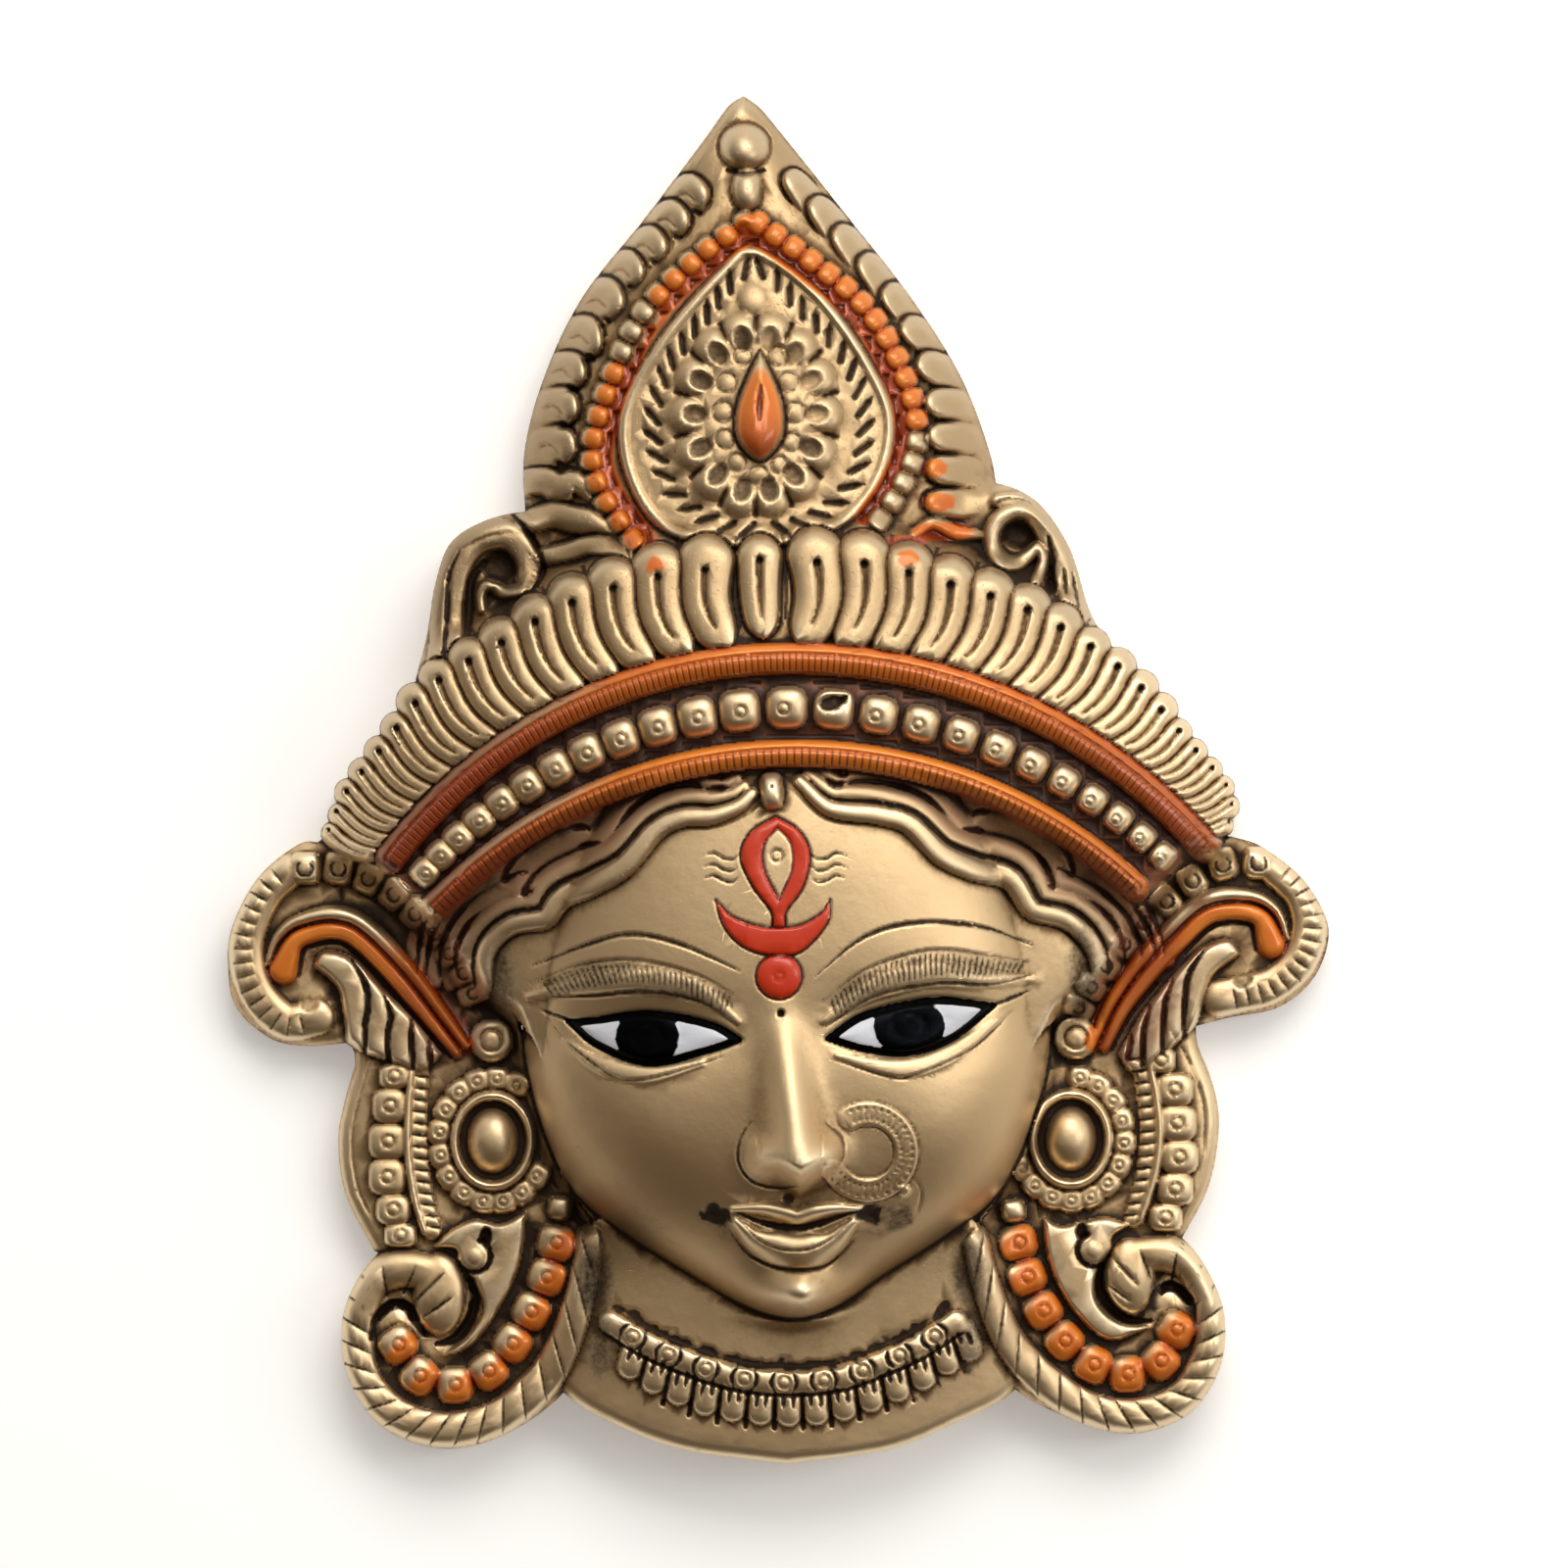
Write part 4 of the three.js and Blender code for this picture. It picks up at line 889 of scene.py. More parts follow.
def tail(sign, pads, rim, crescent, feathers, creases, dimple, rosette):
    """A curl: pads and a notched rim round a lacquered crescent, with feathers below it."""
    plateau(outline(*feathers), 3.6, 2.0)
    for crease in creases:
        cut(crease, 1.7, 1.7, 0.4, 1.0, 0.95)
    line = smooth(rim)
    rib(line, 8.2, 2.9, 0.95, 1.05, power=0.4)
    for share in np.linspace(0.05, 0.93, 15):
        spot, way = along(offset(line, 0.9 * sign), share)
        tick(*spot, angle_of(way) + math.pi / 2, 4.6, 0.8, 0.7, 0.8)
    dish(*dimple, 2.4, 1.9, 1.1, 0.4, 0.5)
    border_pads(pads, sign)
    line = smooth(crescent)
    share = lengths_of(line) / lengths_of(line)[-1]
    half = np.interp(share, (0, 0.12, 0.7, 1), (3.4, 2.2, 2.0, 1.2))
    outer = offset(line, -sign * (half + 1.6) * np.interp(share, (0, 0.1), (0.75, 1)))
    rib(outer, 4.2, 4.0, 0.3, 0.5)
    where, distance, _, place = measure(line, 5)
    mine = np.interp(place, lengths_of(line), half)
    rise = 3.0 * np.clip(1 - (distance / mine) ** 4, 0, 1)
    relief[where] = np.where(distance < mine, np.maximum(relief[where], rise), relief[where])
    lacquer = fall(mine + 0.3 - distance, 0, 0.5)
    colour("orange", where, lacquer)
    colour("maroon_and_shade", where, 0.75 * fall(place / lengths_of(line)[-1], 0.72, 1) * lacquer)
    cut(offset(line, -sign * (half + 0.1)), 0.9, 0.9, 0.4, 0.4, 0.8)
    cut(offset(line, sign * (half + 0.5)), 1.2, 1.2, 0.6, 0.6, 0.95)
    where, distance, _, place = measure(outer, 3)
    spread = fall(place / lengths_of(outer)[-1], 0.3, 0.8)
    colour("orange", where, spread * fall(2.3 - distance, 0, 0.4))
    dome(*rosette, 4.9, 4.9, 4.2, power=0.22)
    punch(*rosette, 2.5, 0.9)


def make_tails():
    """Left and right: pads, rim, crescent, feathers with their creases, dimple and rosette."""
    tail(-1,
         [(-68.6, -48.4), (-70.8, -43.6), (-77.8, -34.3), (-86.4, -26), (-92.3, -22.4), (-99.2, -20.2),
          (-106.5, -20.2)],
         [(-110.4, -21), (-115.4, -25.7), (-119.3, -34.1), (-119.7, -41.9), (-116.4, -49.8),
          (-110.6, -54.8), (-104, -53.6)],
         [(-111.6, -43.2), (-109, -37), (-104.6, -34.8), (-99.6, -34.2), (-94.8, -36.2), (-86.8, -44.1),
          (-79.5, -53), (-72.4, -61.8)],
         [[(-104.8, -42.2), (-102.8, -38.8), (-97.7, -39.3), (-93.2, -42.4), (-87.8, -48.3),
           (-81.9, -53.7), (-75.6, -62)],
          [(-75.6, -62), (-80, -66), (-87.8, -63.8), (-93.7, -61.6), (-97.2, -59.6)],
          [(-97.2, -59.6), (-98.2, -51.8), (-99.6, -46.8), (-104.8, -42.2)]],
         [[(-96.2, -40.4), (-93, -45.9), (-92.2, -50.8), (-93, -56.2), (-93, -61.4)],
          [(-88.6, -48.8), (-87.1, -53.2), (-87.8, -57.6), (-87.6, -63.6)],
          [(-82.4, -53.9), (-82.5, -58.6), (-82.2, -65)], [(-78.5, -58.6), (-78.2, -65)]],
         (-105.4, -50.8), (-64.5, -58.9))
    tail(1,
         [(67.6, -51.6), (70, -47.4), (77.6, -37.4), (88, -27), (93.5, -22.8), (101, -19), (108.2, -19)],
         [(112, -20.4), (117.6, -25.6), (119.8, -33), (117.4, -41), (111.4, -46.4),
          (104.4, -48.4), (99.6, -49.4)],
         [(111.2, -37.4), (108.6, -31.4), (103.2, -29.8), (96.6, -31), (90, -37), (83.4, -44.2),
          (77.6, -52), (73.4, -60.6)],
         [[(104.4, -39.4), (101.6, -36), (96, -37.4), (91, -41.8), (86.4, -47), (81.6, -53), (76.4, -62)],
          [(76.4, -62), (80, -66.6), (86.4, -62.6), (90.6, -59), (94.2, -55.8)],
          [(94.2, -55.8), (96.4, -49), (98.4, -44), (104.4, -39.4)]],
         [[(96, -38.4), (92.6, -43.6), (91.6, -49), (91.4, -58)], [(89, -44.8), (87, -51), (86.6, -61.6)],
          [(83.8, -50.8), (82.2, -57), (82, -64.4)], [(79.6, -57.4), (78.6, -63)]],
         (104.6, -45.4), (66.9, -58.3))


# Ear plates, discs and tassels


def ear(sign, disc, column, rib_line, first, last):
    """A plate with a column of beads, a hatched rib and a ringed disc; first and last turn its beads."""
    x0, y0 = disc
    cut(offset(smooth(EAR_EDGES[sign]), -3.2 * sign), 0.9, 0.7, 0.5, 0.5)
    for x, y, rx, ry in column:
        dome(x, y, rx * 1.1, ry * 1.04, 2.8, 0.0, 3.2, power=0.32)
        punch(x, y, 1.35, 0.55)
    line = smooth(rib_line)
    rib(offset(line, -1.7 * sign), 5.8, 2.0, 0.8, 0.8, power=0.3)
    rib(line, 2.2, 2.9, 0.8, 0.8)
    for share in np.linspace(0.03, 0.97, 14):
        (x, y), _ = along(line, share)
        tick(x - sign * 3.0, y, 0.12 * sign, 3.8, 0.9, 1.0, 0.85)
    dome(x0, y0, 14.2, 16.4, 1.2, power=0.3)
    for turn in np.linspace(first, last, 13):
        x = x0 + sign * 12.1 * math.sin(turn)
        y = y0 + 13.9 * math.cos(turn)
        dome(x, y, 3.0, 2.8, 2.8, turn * -sign, 3.0, power=0.32)
        punch(x, y, 0.95, 0.5)
    where, u, v = oval(x0, y0, 9.6, 11.5)
    out = np.hypot(u, v)
    ring = 4.6 * np.clip(1 - ((out - 0.89) / 0.12) ** 2, 0, 1) ** 0.5
    relief[where] = np.where(out < 1.02, np.maximum(ring, 1.0), relief[where])
    rings = 0.7 * np.exp(-(((out - 1.03) / 0.03) ** 2)) + 0.8 * np.exp(-(((out - 0.72) / 0.05) ** 2))
    colour("grime_and_shade", where, rings)
    dome(x0, y0, 6.1, 7.7, 6.6, power=0.62)


def make_ears():
    """Left and right: the disc's middle, the column's beads with their sizes, and the rib."""
    ear(-1, (-64.2, -81.4),
        [(-87.4, -73.7, 3.6, 3.9), (-87.8, -81.7, 4.1, 4), (-88, -89.7, 3.9, 4), (-86.6, -97, 3.6, 3.4),
         (-85, -102.8, 3.4, 2.6), (-86.4, -67, 3.2, 2.8)],
        [(-82.6, -66), (-83.3, -75), (-83.3, -84), (-82, -93.6), (-79.6, -102)], -0.46, 4.1)
    ear(1, (65.8, -81),
        [(86.2, -63.4, 3, 2.9), (89.2, -70, 3.9, 3.7), (89.8, -77.6, 4.1, 4), (90.3, -85.2, 4, 3.8),
         (89.4, -92.4, 3.8, 3.6), (87.2, -98.8, 3.5, 3.1)],
        [(83, -62), (84.9, -70), (85.9, -79.5), (84.9, -88.8), (81.6, -99.3)], 0.17, 4.6)


def tassel_band(points, width, sign):
    """The tassel's broad roll: chisel cuts cross it, steeply at first and then more along it."""
    line = smooth(points)
    rib(line, width, 3.4, 0.9, 0.72, power=0.36)
    reach = np.r_[0.0, np.cumsum(np.interp(np.linspace(0, 1, 18), (0, 0.6, 1), (1.0, 1.0, 1.7)))]
    for share in 0.03 + 0.93 * reach / reach[-1]:
        spot, way = along(line, share)
        slant = math.radians(np.interp(share, (0, 0.6, 0.85, 1), (64, 58, 30, 20)))
        length = min(13.0, 0.9 * width / math.sin(slant))
        tick(*spot, angle_of(way) + sign * slant, length, 0.8, 0.7, 0.85)


def string_of_coins(points, tint):
    """Punched beads at the points; the first one is small and bare. tint is how far lacquer reaches."""
    line = np.array(points)
    for k, ((x, y), way) in enumerate(zip(line, np.gradient(line, axis=0))):
        size = 2.9 if k == 0 else 4.35
        dome(x, y, size * 0.96, size, 3.8, angle_of(way), 3.0, power=0.4)
        where, u, v = oval(x, y, size, size)
        out = np.hypot(u, v)
        lit = fall(u - v, -tint - 1.2, -tint + 1.0) if k else 0.0
        colour("orange", where, 0.95 * lit * fall(1.1 - out, 0, 0.1))
        colour("maroon_and_shade", where, 0.45 * fall(u - v, 0.5, 1.6) * fall(1.08 - out, 0, 0.1) * (k > 0))
        paint["grime_and_shade"][where] *= 1 - 0.8 * fall(1 - out, 0, 0.2)
        if k:
            punch(x + 0.2, y, 1.35, 0.5)


def leaf_scroll(points, lobe, hole, first, last, crescent):
    """A flat leaf beside the tassel's head: a round lobe cut free between two angles, and a hole."""
    plateau(outline(*points), 3.6, 1.3)
    ring = on_oval(*lobe, 3.7, 3.7, np.radians(np.linspace(first, last, 40)))
    cut(ring, 1.4, 2.0, 1.0, 0.7, 0.95)
    dome(*lobe, 3.2, 3.3, 4.3, power=0.4)
    dish(*hole, 1.6, 2.3, 2.6, grime_and_shade=0.98)
    cut(crescent, 2.9, 3.4, 0.5, 0.4, 1.0)


def tassel_head(knob, roll, width, hollow, folds):
    """The tassel's rolled head: a knob, a roll over it, a hollow under it and folds across."""
    dome(*knob, 4.2, power=0.4)
    rib(roll, width, 3.6, 0.9)
    cut(hollow, 2.6, 3.4, 0.5, 0.6, 1.0)
    for fold in folds:
        cut(fold, 0.9, 0.8, 0.5, 0.8, 0.8)


def make_tassels():
    """Left, then right: the roll with its head, the leaf beside it and the string of coins."""
    tassel_band([(-91, -111), (-94.2, -117), (-95, -126), (-93, -136), (-85.6, -143.6), (-74.6, -146.6),
                 (-62.6, -143.6), (-52.4, -134.6), (-46.4, -122.6), (-43, -109), (-42.6, -103)], 8.4, 1)
    tassel_head((-76.2, -116, 5.9, 9.4),
                [(-94.2, -119), (-91, -112.6), (-84.6, -110.4), (-77, -111.4)], 8.6,
                [(-77.6, -126.2), (-81, -123.6), (-83, -119.4), (-86.6, -118.2),
                 (-90.4, -121.6), (-91.4, -126)],
                [[(-81.4, -109.6), (-84.4, -116)], [(-75, -111), (-81.6, -117.6)],
                 [(-73, -116.4), (-79.6, -121)], [(-89, -109.6), (-88, -116.6)]])
    leaf_scroll([[(-77.6, -105.4), (-73.9, -101.6), (-68.4, -99), (-62.6, -100), (-56.6, -97.4)],
                 [(-56.6, -97.4), (-57.4, -106), (-59.8, -113.9), (-65.7, -123.9),
                  (-70.6, -128.6), (-75.9, -130)],
                 [(-75.9, -130), (-70.3, -125.7), (-66.4, -119.5), (-68.4, -112.5)],
                 [(-68.4, -112.5), (-72, -109), (-72.6, -106), (-77.6, -105.4)]],
                (-68.3, -107.3), (-65.7, -102.9), 70, -160,
                [(-69.4, -112.8), (-68.2, -117), (-69.3, -121.6), (-72.5, -125.8), (-77, -127.4)])
    string_of_coins([(-49.1, -96.6), (-50, -104.4), (-52.1, -112.1), (-55.6, -119.8), (-59.8, -127),
                     (-65.2, -133.2), (-72.8, -136.4), (-80.7, -134.4), (-85.6, -127.4)], 0.15)
    tassel_band([(88, -106.4), (94, -111), (97.2, -119), (97.2, -129), (92, -138.6), (83, -143),
                 (72, -142.6), (61.4, -136.6), (52.4, -127), (47, -114.6), (44.2, -103)], 8.2, -1)
    tassel_head((79.2, -112, 5.7, 8.8),
                [(97, -117), (93.4, -109.6), (87.2, -107), (80, -107.6)], 8.4,
                [(80, -121.6), (83.6, -119.6), (85.6, -115.4), (89, -114.4), (92.6, -117.6), (93.6, -123)],
                [[(81.4, -106), (83.8, -112.6)], [(75, -107.4), (80.8, -113.8)],
                 [(73, -113), (79, -117.4)], [(89.6, -107), (88.6, -113.4)]])
    leaf_scroll([[(79.4, -100.4), (74, -98.6), (68.6, -99.4), (63.6, -100.4), (59.6, -98.4)],
                 [(59.6, -98.4), (60.2, -106), (62.6, -113.6), (67.4, -121), (74.6, -126.4), (84.3, -123.4)],
                 [(84.3, -123.4), (76.4, -122), (71.6, -117), (71.8, -110)],
                 [(71.8, -110), (75, -106), (75.4, -103), (79.4, -100.4)]],
                (71.0, -106.0), (68.3, -101.8), 110, 340,
                [(72.8, -109.4), (72.2, -114), (74.6, -118.6), (79, -121.8), (84, -122)])
    string_of_coins([(52.9, -97.2), (54, -104.3), (56, -112), (59.6, -119.6), (64.4, -126.4),
                     (70.9, -131.8), (78.6, -134), (86, -131), (89.6, -124)], 0.9)


# Hair

LOCKS = 6
SEAM_PIECES = 5


def make_hair():
    """Wavy locks over both sides of the brow and a bead at the parting. The tiara lies over them."""
    left = [(-4.4, -4.8), (-8, -8.0), (-14.6, -10.4), (-21.1, -10.4), (-26.9, -13), (-33.4, -21.2),
            (-40.8, -25.4), (-47.4, -27.8), (-51.5, -32.6), (-58.8, -34.6), (-63.4, -39.4), (-64.4, -47)]
    right = [(3.4, -2), (10.9, -8.6), (22.4, -9.7), (29, -11.6), (35.5, -18.6), (42.9, -22), (51.1, -23.7),
             (56, -30.6), (64, -33.6), (69, -39), (70.6, -45)]
    crown = inside(TIARA, EVERYWHERE)
    kept_relief = relief.copy()
    kept_paint = {name: paint[name].copy() for name in ("grime_and_shade", "maroon_and_shade")}
    for points, sign in ((left, -1), (right, 1)):
        hairline = smooth(points)
        share = lengths_of(hairline) / lengths_of(hairline)[-1]
        step = 2.5 + 2.1 * np.sin(np.pi * np.clip(share, 0, 1)) ** 0.8 + 0.6 * share

        def lock(k):
            wave = np.sin(2 * np.pi * (2.6 * share - 0.12 * k))
            wave = (0.3 + 0.45 * k) * wave * np.minimum(1, 4 * share)
            return offset(hairline, sign * (2.1 + k * step + wave))

        for k in range(LOCKS - 1, 0, -1):
            rib(lock(k), 5.4, 2.2, 0.5, 0.7, power=0.4)
        rib(lock(0), 6.2, 3.3, 0.5, 0.7, power=0.4)
        cut(((lock(0) + lock(1)) / 2 + (0.0, 0.2))[2:], 1.6, 1.5, 0.4, 0.6, 0.95)
        for k in range(1, LOCKS - 1):
            seam = (lock(k) + lock(k + 1)) / 2 + (0.0, 0.2)
            for j in range(SEAM_PIECES):
                a = int(len(seam) * (j + 0.1 + 0.12 * (k % 2)) / SEAM_PIECES)
                b = int(len(seam) * (j + 0.93) / SEAM_PIECES)
                cut(seam[a:b], 1.7, 1.4, 0.2, 0.2, 0.95)
        cut(offset(hairline, -sign * 0.5), 1.0, 0.5, 0.5, 0.8, 0.5)
        # Painted shadow under the tiara: a dark red wash over the hair, rising from 3.5 mm above the
        # hairline.
        where, distance, side, _ = measure(hairline, 26)
        above = side * sign
        colour("maroon_and_shade", where, 0.55 * fall(above * distance, 3.5, 9) * fall(25 - distance, 0, 8))
    dome(-1.4, -2.6, 2.7, 4.4, 4.4, 0.06, 3.0)
    dish(-1.4, -1.8, 0.6, 0.6, 0.6)
    relief[crown] = kept_relief[crown]
    for name, image in kept_paint.items():
        paint[name][crown] = image[crown]


# Face


def clear_face():
    """The ear pieces pass behind the face, so nothing of them shows on it."""
    face = ON_FACE & (Y < -30)
    relief[face] = 0
    for image in paint.values():
        image[face] = 0


def eye(outer, inner, upper, lower, tail_line, iris, crease, lower_lid):
    """A painted ball between two corners, a line out of the outer one and a fold above and below."""
    ball = outline([outer, *upper, inner], [inner, *lower, outer])
    where, _, depth = depth_within(ball, 3)
    relief[where] += 1.6 * np.sqrt(np.clip(depth, 0, 3) / 3) - 0.9 * np.exp(-((depth / 0.7) ** 2))
    colour("black", where, fall(1.15 - np.abs(depth - 0.2), 0, 0.5))
    colour("white", where, fall(depth, 0.6, 1.1))
    where, u, v = oval(*iris)
    out = np.hypot(u, v)
    mine = inside(ball, where)
    colour("black", where, fall(1.0 - out, 0, 0.07) * mine)
    relief[where] += 0.5 * np.clip(1 - out**2, 0, 1) ** 0.5 * mine
    relief[where] -= 0.25 * np.exp(-(((out - 0.45) / 0.08) ** 2)) * mine
    cut(tail_line, 1.2, 0.7, 0.9, 0.3, 0.9)
    cut(crease, 1.3, 1.0, 0.3, 0.4, 0.75)
    cut(lower_lid, 0.9, 0.55, 0.3, 0.4, 0.75)


def brow(upper, second, hatch_low, count, lean):
    """Two engraved lines and a field of fine leaning strokes under them."""
    cut(upper, 1.15, 0.8, 0.3, 0.4, 0.85)
    cut(second, 0.9, 0.5, 0.3, 0.4, 0.7)
    top, low = smooth(second), smooth(hatch_low)
    for share in np.linspace(0.05, 0.97, count):
        a, _ = along(top, share)
        b, _ = along(low, share + lean)
        a = a + (b - a) * 0.16
        cut(np.array([a, (a + b) / 2, b]), 0.6, 0.3, 0.7, 0.5, 0.85)
    field = np.vstack([top, low[::-1], top[:1]])
    where = patch(field, 1)
    colour("grime_and_shade", where, 0.52 * inside(field, where))


def make_face():
    """Ridges above and below the eyes, the eyes and the brows, then the mark, nose and mouth."""
    rib([(-56, -49), (-44, -46), (-30, -45), (-18, -47.4), (-9, -54)], 6, 1.5, 0.3, 0.3, on=True)
    rib([(10, -54), (22, -46.6), (34, -43.6), (46, -44.6), (57, -45)], 6, 1.5, 0.3, 0.3, on=True)
    rib([(-48, -58.6), (-40, -63.8), (-29, -66), (-17, -63.4)], 4.4, 1.0, 0.3, 0.4, on=True)
    rib([(13, -61.6), (27, -64.6), (38, -61.6), (49, -54)], 4.4, 1.0, 0.3, 0.4, on=True)
    eye((-47, -54.2), (-8.5, -58.2), [(-41.4, -53.9), (-28.5, -52.3), (-15.2, -54.6)],
        [(-16.7, -61), (-29, -63.5), (-40.3, -59.6)],
        [(-46.5, -54), (-53, -51.8)], (-29.1, -57.6, 7.4, 6.4),
        [(-51.4, -48.9), (-41.4, -48.4), (-30, -47.4), (-17.7, -49.4), (-9.6, -54.6)],
        [(-52, -53), (-46.5, -59.4), (-37.3, -66.2), (-32, -67.2), (-25.4, -66), (-12, -61.8)])
    eye((48.2, -50.7), (10.9, -57.9), [(42.7, -49.9), (33.8, -49.4), (19.3, -52.6)],
        [(19.3, -60.4), (29, -61.2), (38.8, -58)],
        [(47.6, -50.8), (56.3, -47.3)], (29.2, -55.2, 8.3, 6.6),
        [(10.4, -55.4), (21.5, -48.5), (36, -45.6), (47, -46), (56.6, -43.9)],
        [(11.5, -62.3), (23.7, -66), (30.4, -66), (43.8, -59.8), (52.6, -51.6)])
    brow([(-55, -42), (-43.4, -37.4), (-33, -34.8), (-22, -36.9), (-8.5, -42.8)],
         [(-55.2, -46), (-46, -42), (-33, -40.4), (-18.8, -43.4), (-9.4, -48.4)],
         [(-53.4, -50), (-44, -47.4), (-33, -46.2), (-20, -48), (-12, -52.4)], 34, 0.035)
    brow([(8.4, -43.9), (19, -35.4), (30.4, -32.2), (44.9, -33), (56.9, -37.2)],
         [(9.6, -50), (19.3, -42.6), (33.8, -38.2), (47, -39.4), (56.6, -41)],
         [(12.6, -53.4), (22, -47.4), (35, -44.2), (48, -44.6), (56, -43.2)], 36, -0.035)
    make_mark()
    make_nose()
    make_mouth()


def make_mark():
    """The painted mark: a flame with an eye in it, waves beside it, a crescent and a dot."""
    flame_line = outline([(-0.6, -8.4), (-6.2, -12), (-8.3, -17.4), (-5.6, -24), (-1.5, -29.6),
                          (-1.2, -33.1)],
                         [(-1.2, -33.1), (1.6, -33.1)],
                         [(1.6, -33.1), (1.8, -29.6), (5.6, -24), (7.1, -17), (4.6, -11.6), (-0.6, -8.4)])
    almond = outline([(-0.2, -10.8), (-3.1, -14.6), (-3.2, -20), (0.2, -27.2)],
                     [(0.2, -27.2), (3.2, -20), (2.9, -14.4), (-0.2, -10.8)])
    plateau(flame_line, 0.9, 0.8, on=True, paints="red")
    where, _, depth = depth_within(almond, 1)
    paint["red"][where] *= 1 - fall(depth, 0, 0.4)
    cut(flame_line, 0.8, 0.7, grime_and_shade=0.9)
    cut(almond, 0.8, 0.7, grime_and_shade=0.9)
    punch(-0.3, -17.2, 1.3, 0.45, dot=True)
    for y in (-17.2, -19.7, -22.2):
        wave = np.array([(-16.6, 0.0), (-14.2, 0.6), (-12.4, -0.5), (-10.2, -0.9), (-8.8, 0.3)])
        for sign, shift in ((1, 0.0), (-1, -1.4)):
            cut(smooth(wave * (sign, 1) + (shift, y)), 0.75, 0.5, 0.4, 0.5, 0.8)
    crescent = outline([(-13.9, -27.1), (-10.4, -30.6), (-4.6, -32.8), (0, -33.2), (5, -32.6),
                        (9.6, -30), (11.6, -27)],
                       [(11.6, -27), (11.2, -31.6), (7.4, -36.6), (3.4, -39.2), (-2.4, -39.2), (-7.8, -37.4),
                        (-12, -33), (-13.9, -27.1)])
    plateau(crescent, 1.0, 0.9, on=True, paints="red")
    cut(crescent, 0.75, 0.6, grime_and_shade=0.85)
    dome(0.2, -44, 5.0, 5.0, 1.5, on=True, paints="red")
    cut(on_oval(0.2, -44, 5.1, 5.1, np.linspace(0, 2 * np.pi, 40)), 0.8, 0.6, grime_and_shade=0.85)
    punch(0.2, -44, 1.1, 0.4, dot=True)
    dish(0.6, -52.2, 0.95, 0.95, 1.6, grime_and_shade=0.98)


def make_nose():
    """Lines round the nostrils, and the nose ring with two rows of dots between its rails."""
    cut([(-5.9, -76.2), (-8.4, -80.4), (-8.8, -85.4), (-6, -89.6), (-0.6, -91.2), (4.8, -90.6)],
        0.9, 0.8, 0.4, 0.5, 0.75)
    cut([(-4.6, -79.2), (-3.8, -84)], 0.7, 0.4, 0.4, 0.4, 0.2)
    cut([(10.3, -76.4), (14, -79.8), (14.5, -84), (12.2, -88)], 0.9, 0.7, 0.4, 0.5, 0.6)
    cut([(9.5, -78.6), (9.7, -85.5)], 0.7, 0.4, 0.4, 0.4, 0.2)
    dish(2.3, -93.6, 1.6, 1.5, 0.8, grime_and_shade=0.85)
    half = 2.9
    ring = on_oval(20.0, -83.2, 8.6, 8.6, np.linspace(math.radians(118), math.radians(-152), 90))
    where, distance, _, _ = measure(ring, half + 1)
    relief[where] += 0.75 * fall(half - distance, 0, 0.6)
    for rail in (-half + 0.15, half - 0.15):
        cut(offset(ring, rail), 0.65, 0.45, 0.6, 0.8)
    for rail in (-1.1, 1.3):
        dots = offset(ring, rail)
        for share in np.linspace(0.02, 0.97, 27):
            spot, _ = along(dots, share)
            dish(*spot, 0.42, 0.42, 0.5, grime_and_shade=0.8)
    for share in np.linspace(0.05, 0.98, 30):
        spot, way = along(ring, share)
        tick(*spot, angle_of(way) + 1.4, 1.6, 0.45, 0.25, 0.4)
    dome(28.2, -92, 1.5, 1.5, 1.2, on=True)
    dish(28.2, -92, 0.5, 0.5, 0.4)
    cut([(29.6, -88.4), (32, -92), (31, -97.4)], 0.8, 0.5, 0.4, 0.4, 0.6)


def make_mouth():
    """Two lips with lines round them and ragged dirt at the corners."""
    rib([(-10.4, -96), (-3.6, -95.8), (1.6, -96.8), (4.4, -97.6), (7.4, -96.6), (12.6, -95.8), (18.6, -96)],
        4.0, 2.4, 0.3, 0.3, on=True, power=0.8)
    rib([(-9.4, -99), (-4.4, -103.4), (3.6, -105.6), (11.2, -104.2), (17, -99)],
        8.2, 3.4, 0.3, 0.3, on=True, power=0.8)
    cut([(-9, -96.8), (-4, -98.8), (3, -100.2), (8.4, -99.4), (14.4, -97.4), (17.6, -96.4)],
        1.8, 2.0, 0.3, 0.3, 0.95)
    cut([(-9.4, -97.4), (-4.6, -102.6), (-0.6, -104.6), (3.6, -105.2), (7.8, -104.6), (12.6, -102),
         (16, -98)],
        0.8, 0.6, 0.3, 0.3, 0.75)
    cut([(-11, -100.6), (-6.6, -106.3), (-0.6, -109), (5.4, -109.6), (11.4, -108.4), (17, -103)],
        1.2, 0.9, 0.3, 0.3, 0.7)
    ragged = noise(0.5, 11)
    for x, y, rx, ry, amount in (
        (-13.8, -97.0, 3.2, 2.8, 1.0), (20.6, -97.2, 3.4, 2.6, 1.0), (26, -97.8, 4.4, 3.4, 0.75),
        (21, -101, 4.4, 1.8, 0.45), (-12, -100.6, 2.0, 3.0, 0.5),
    ):
        where, u, v = oval(x, y, rx * 1.25, ry * 1.25)
        out = np.hypot(u, v) - 0.3 * ragged[where]
        colour("grime_and_shade", where, amount * fall(1 - out, 0, 0.4))
        relief[where] -= amount * fall(1 - out, 0.2, 1)


# Neck and necklace

TONGUES = 14


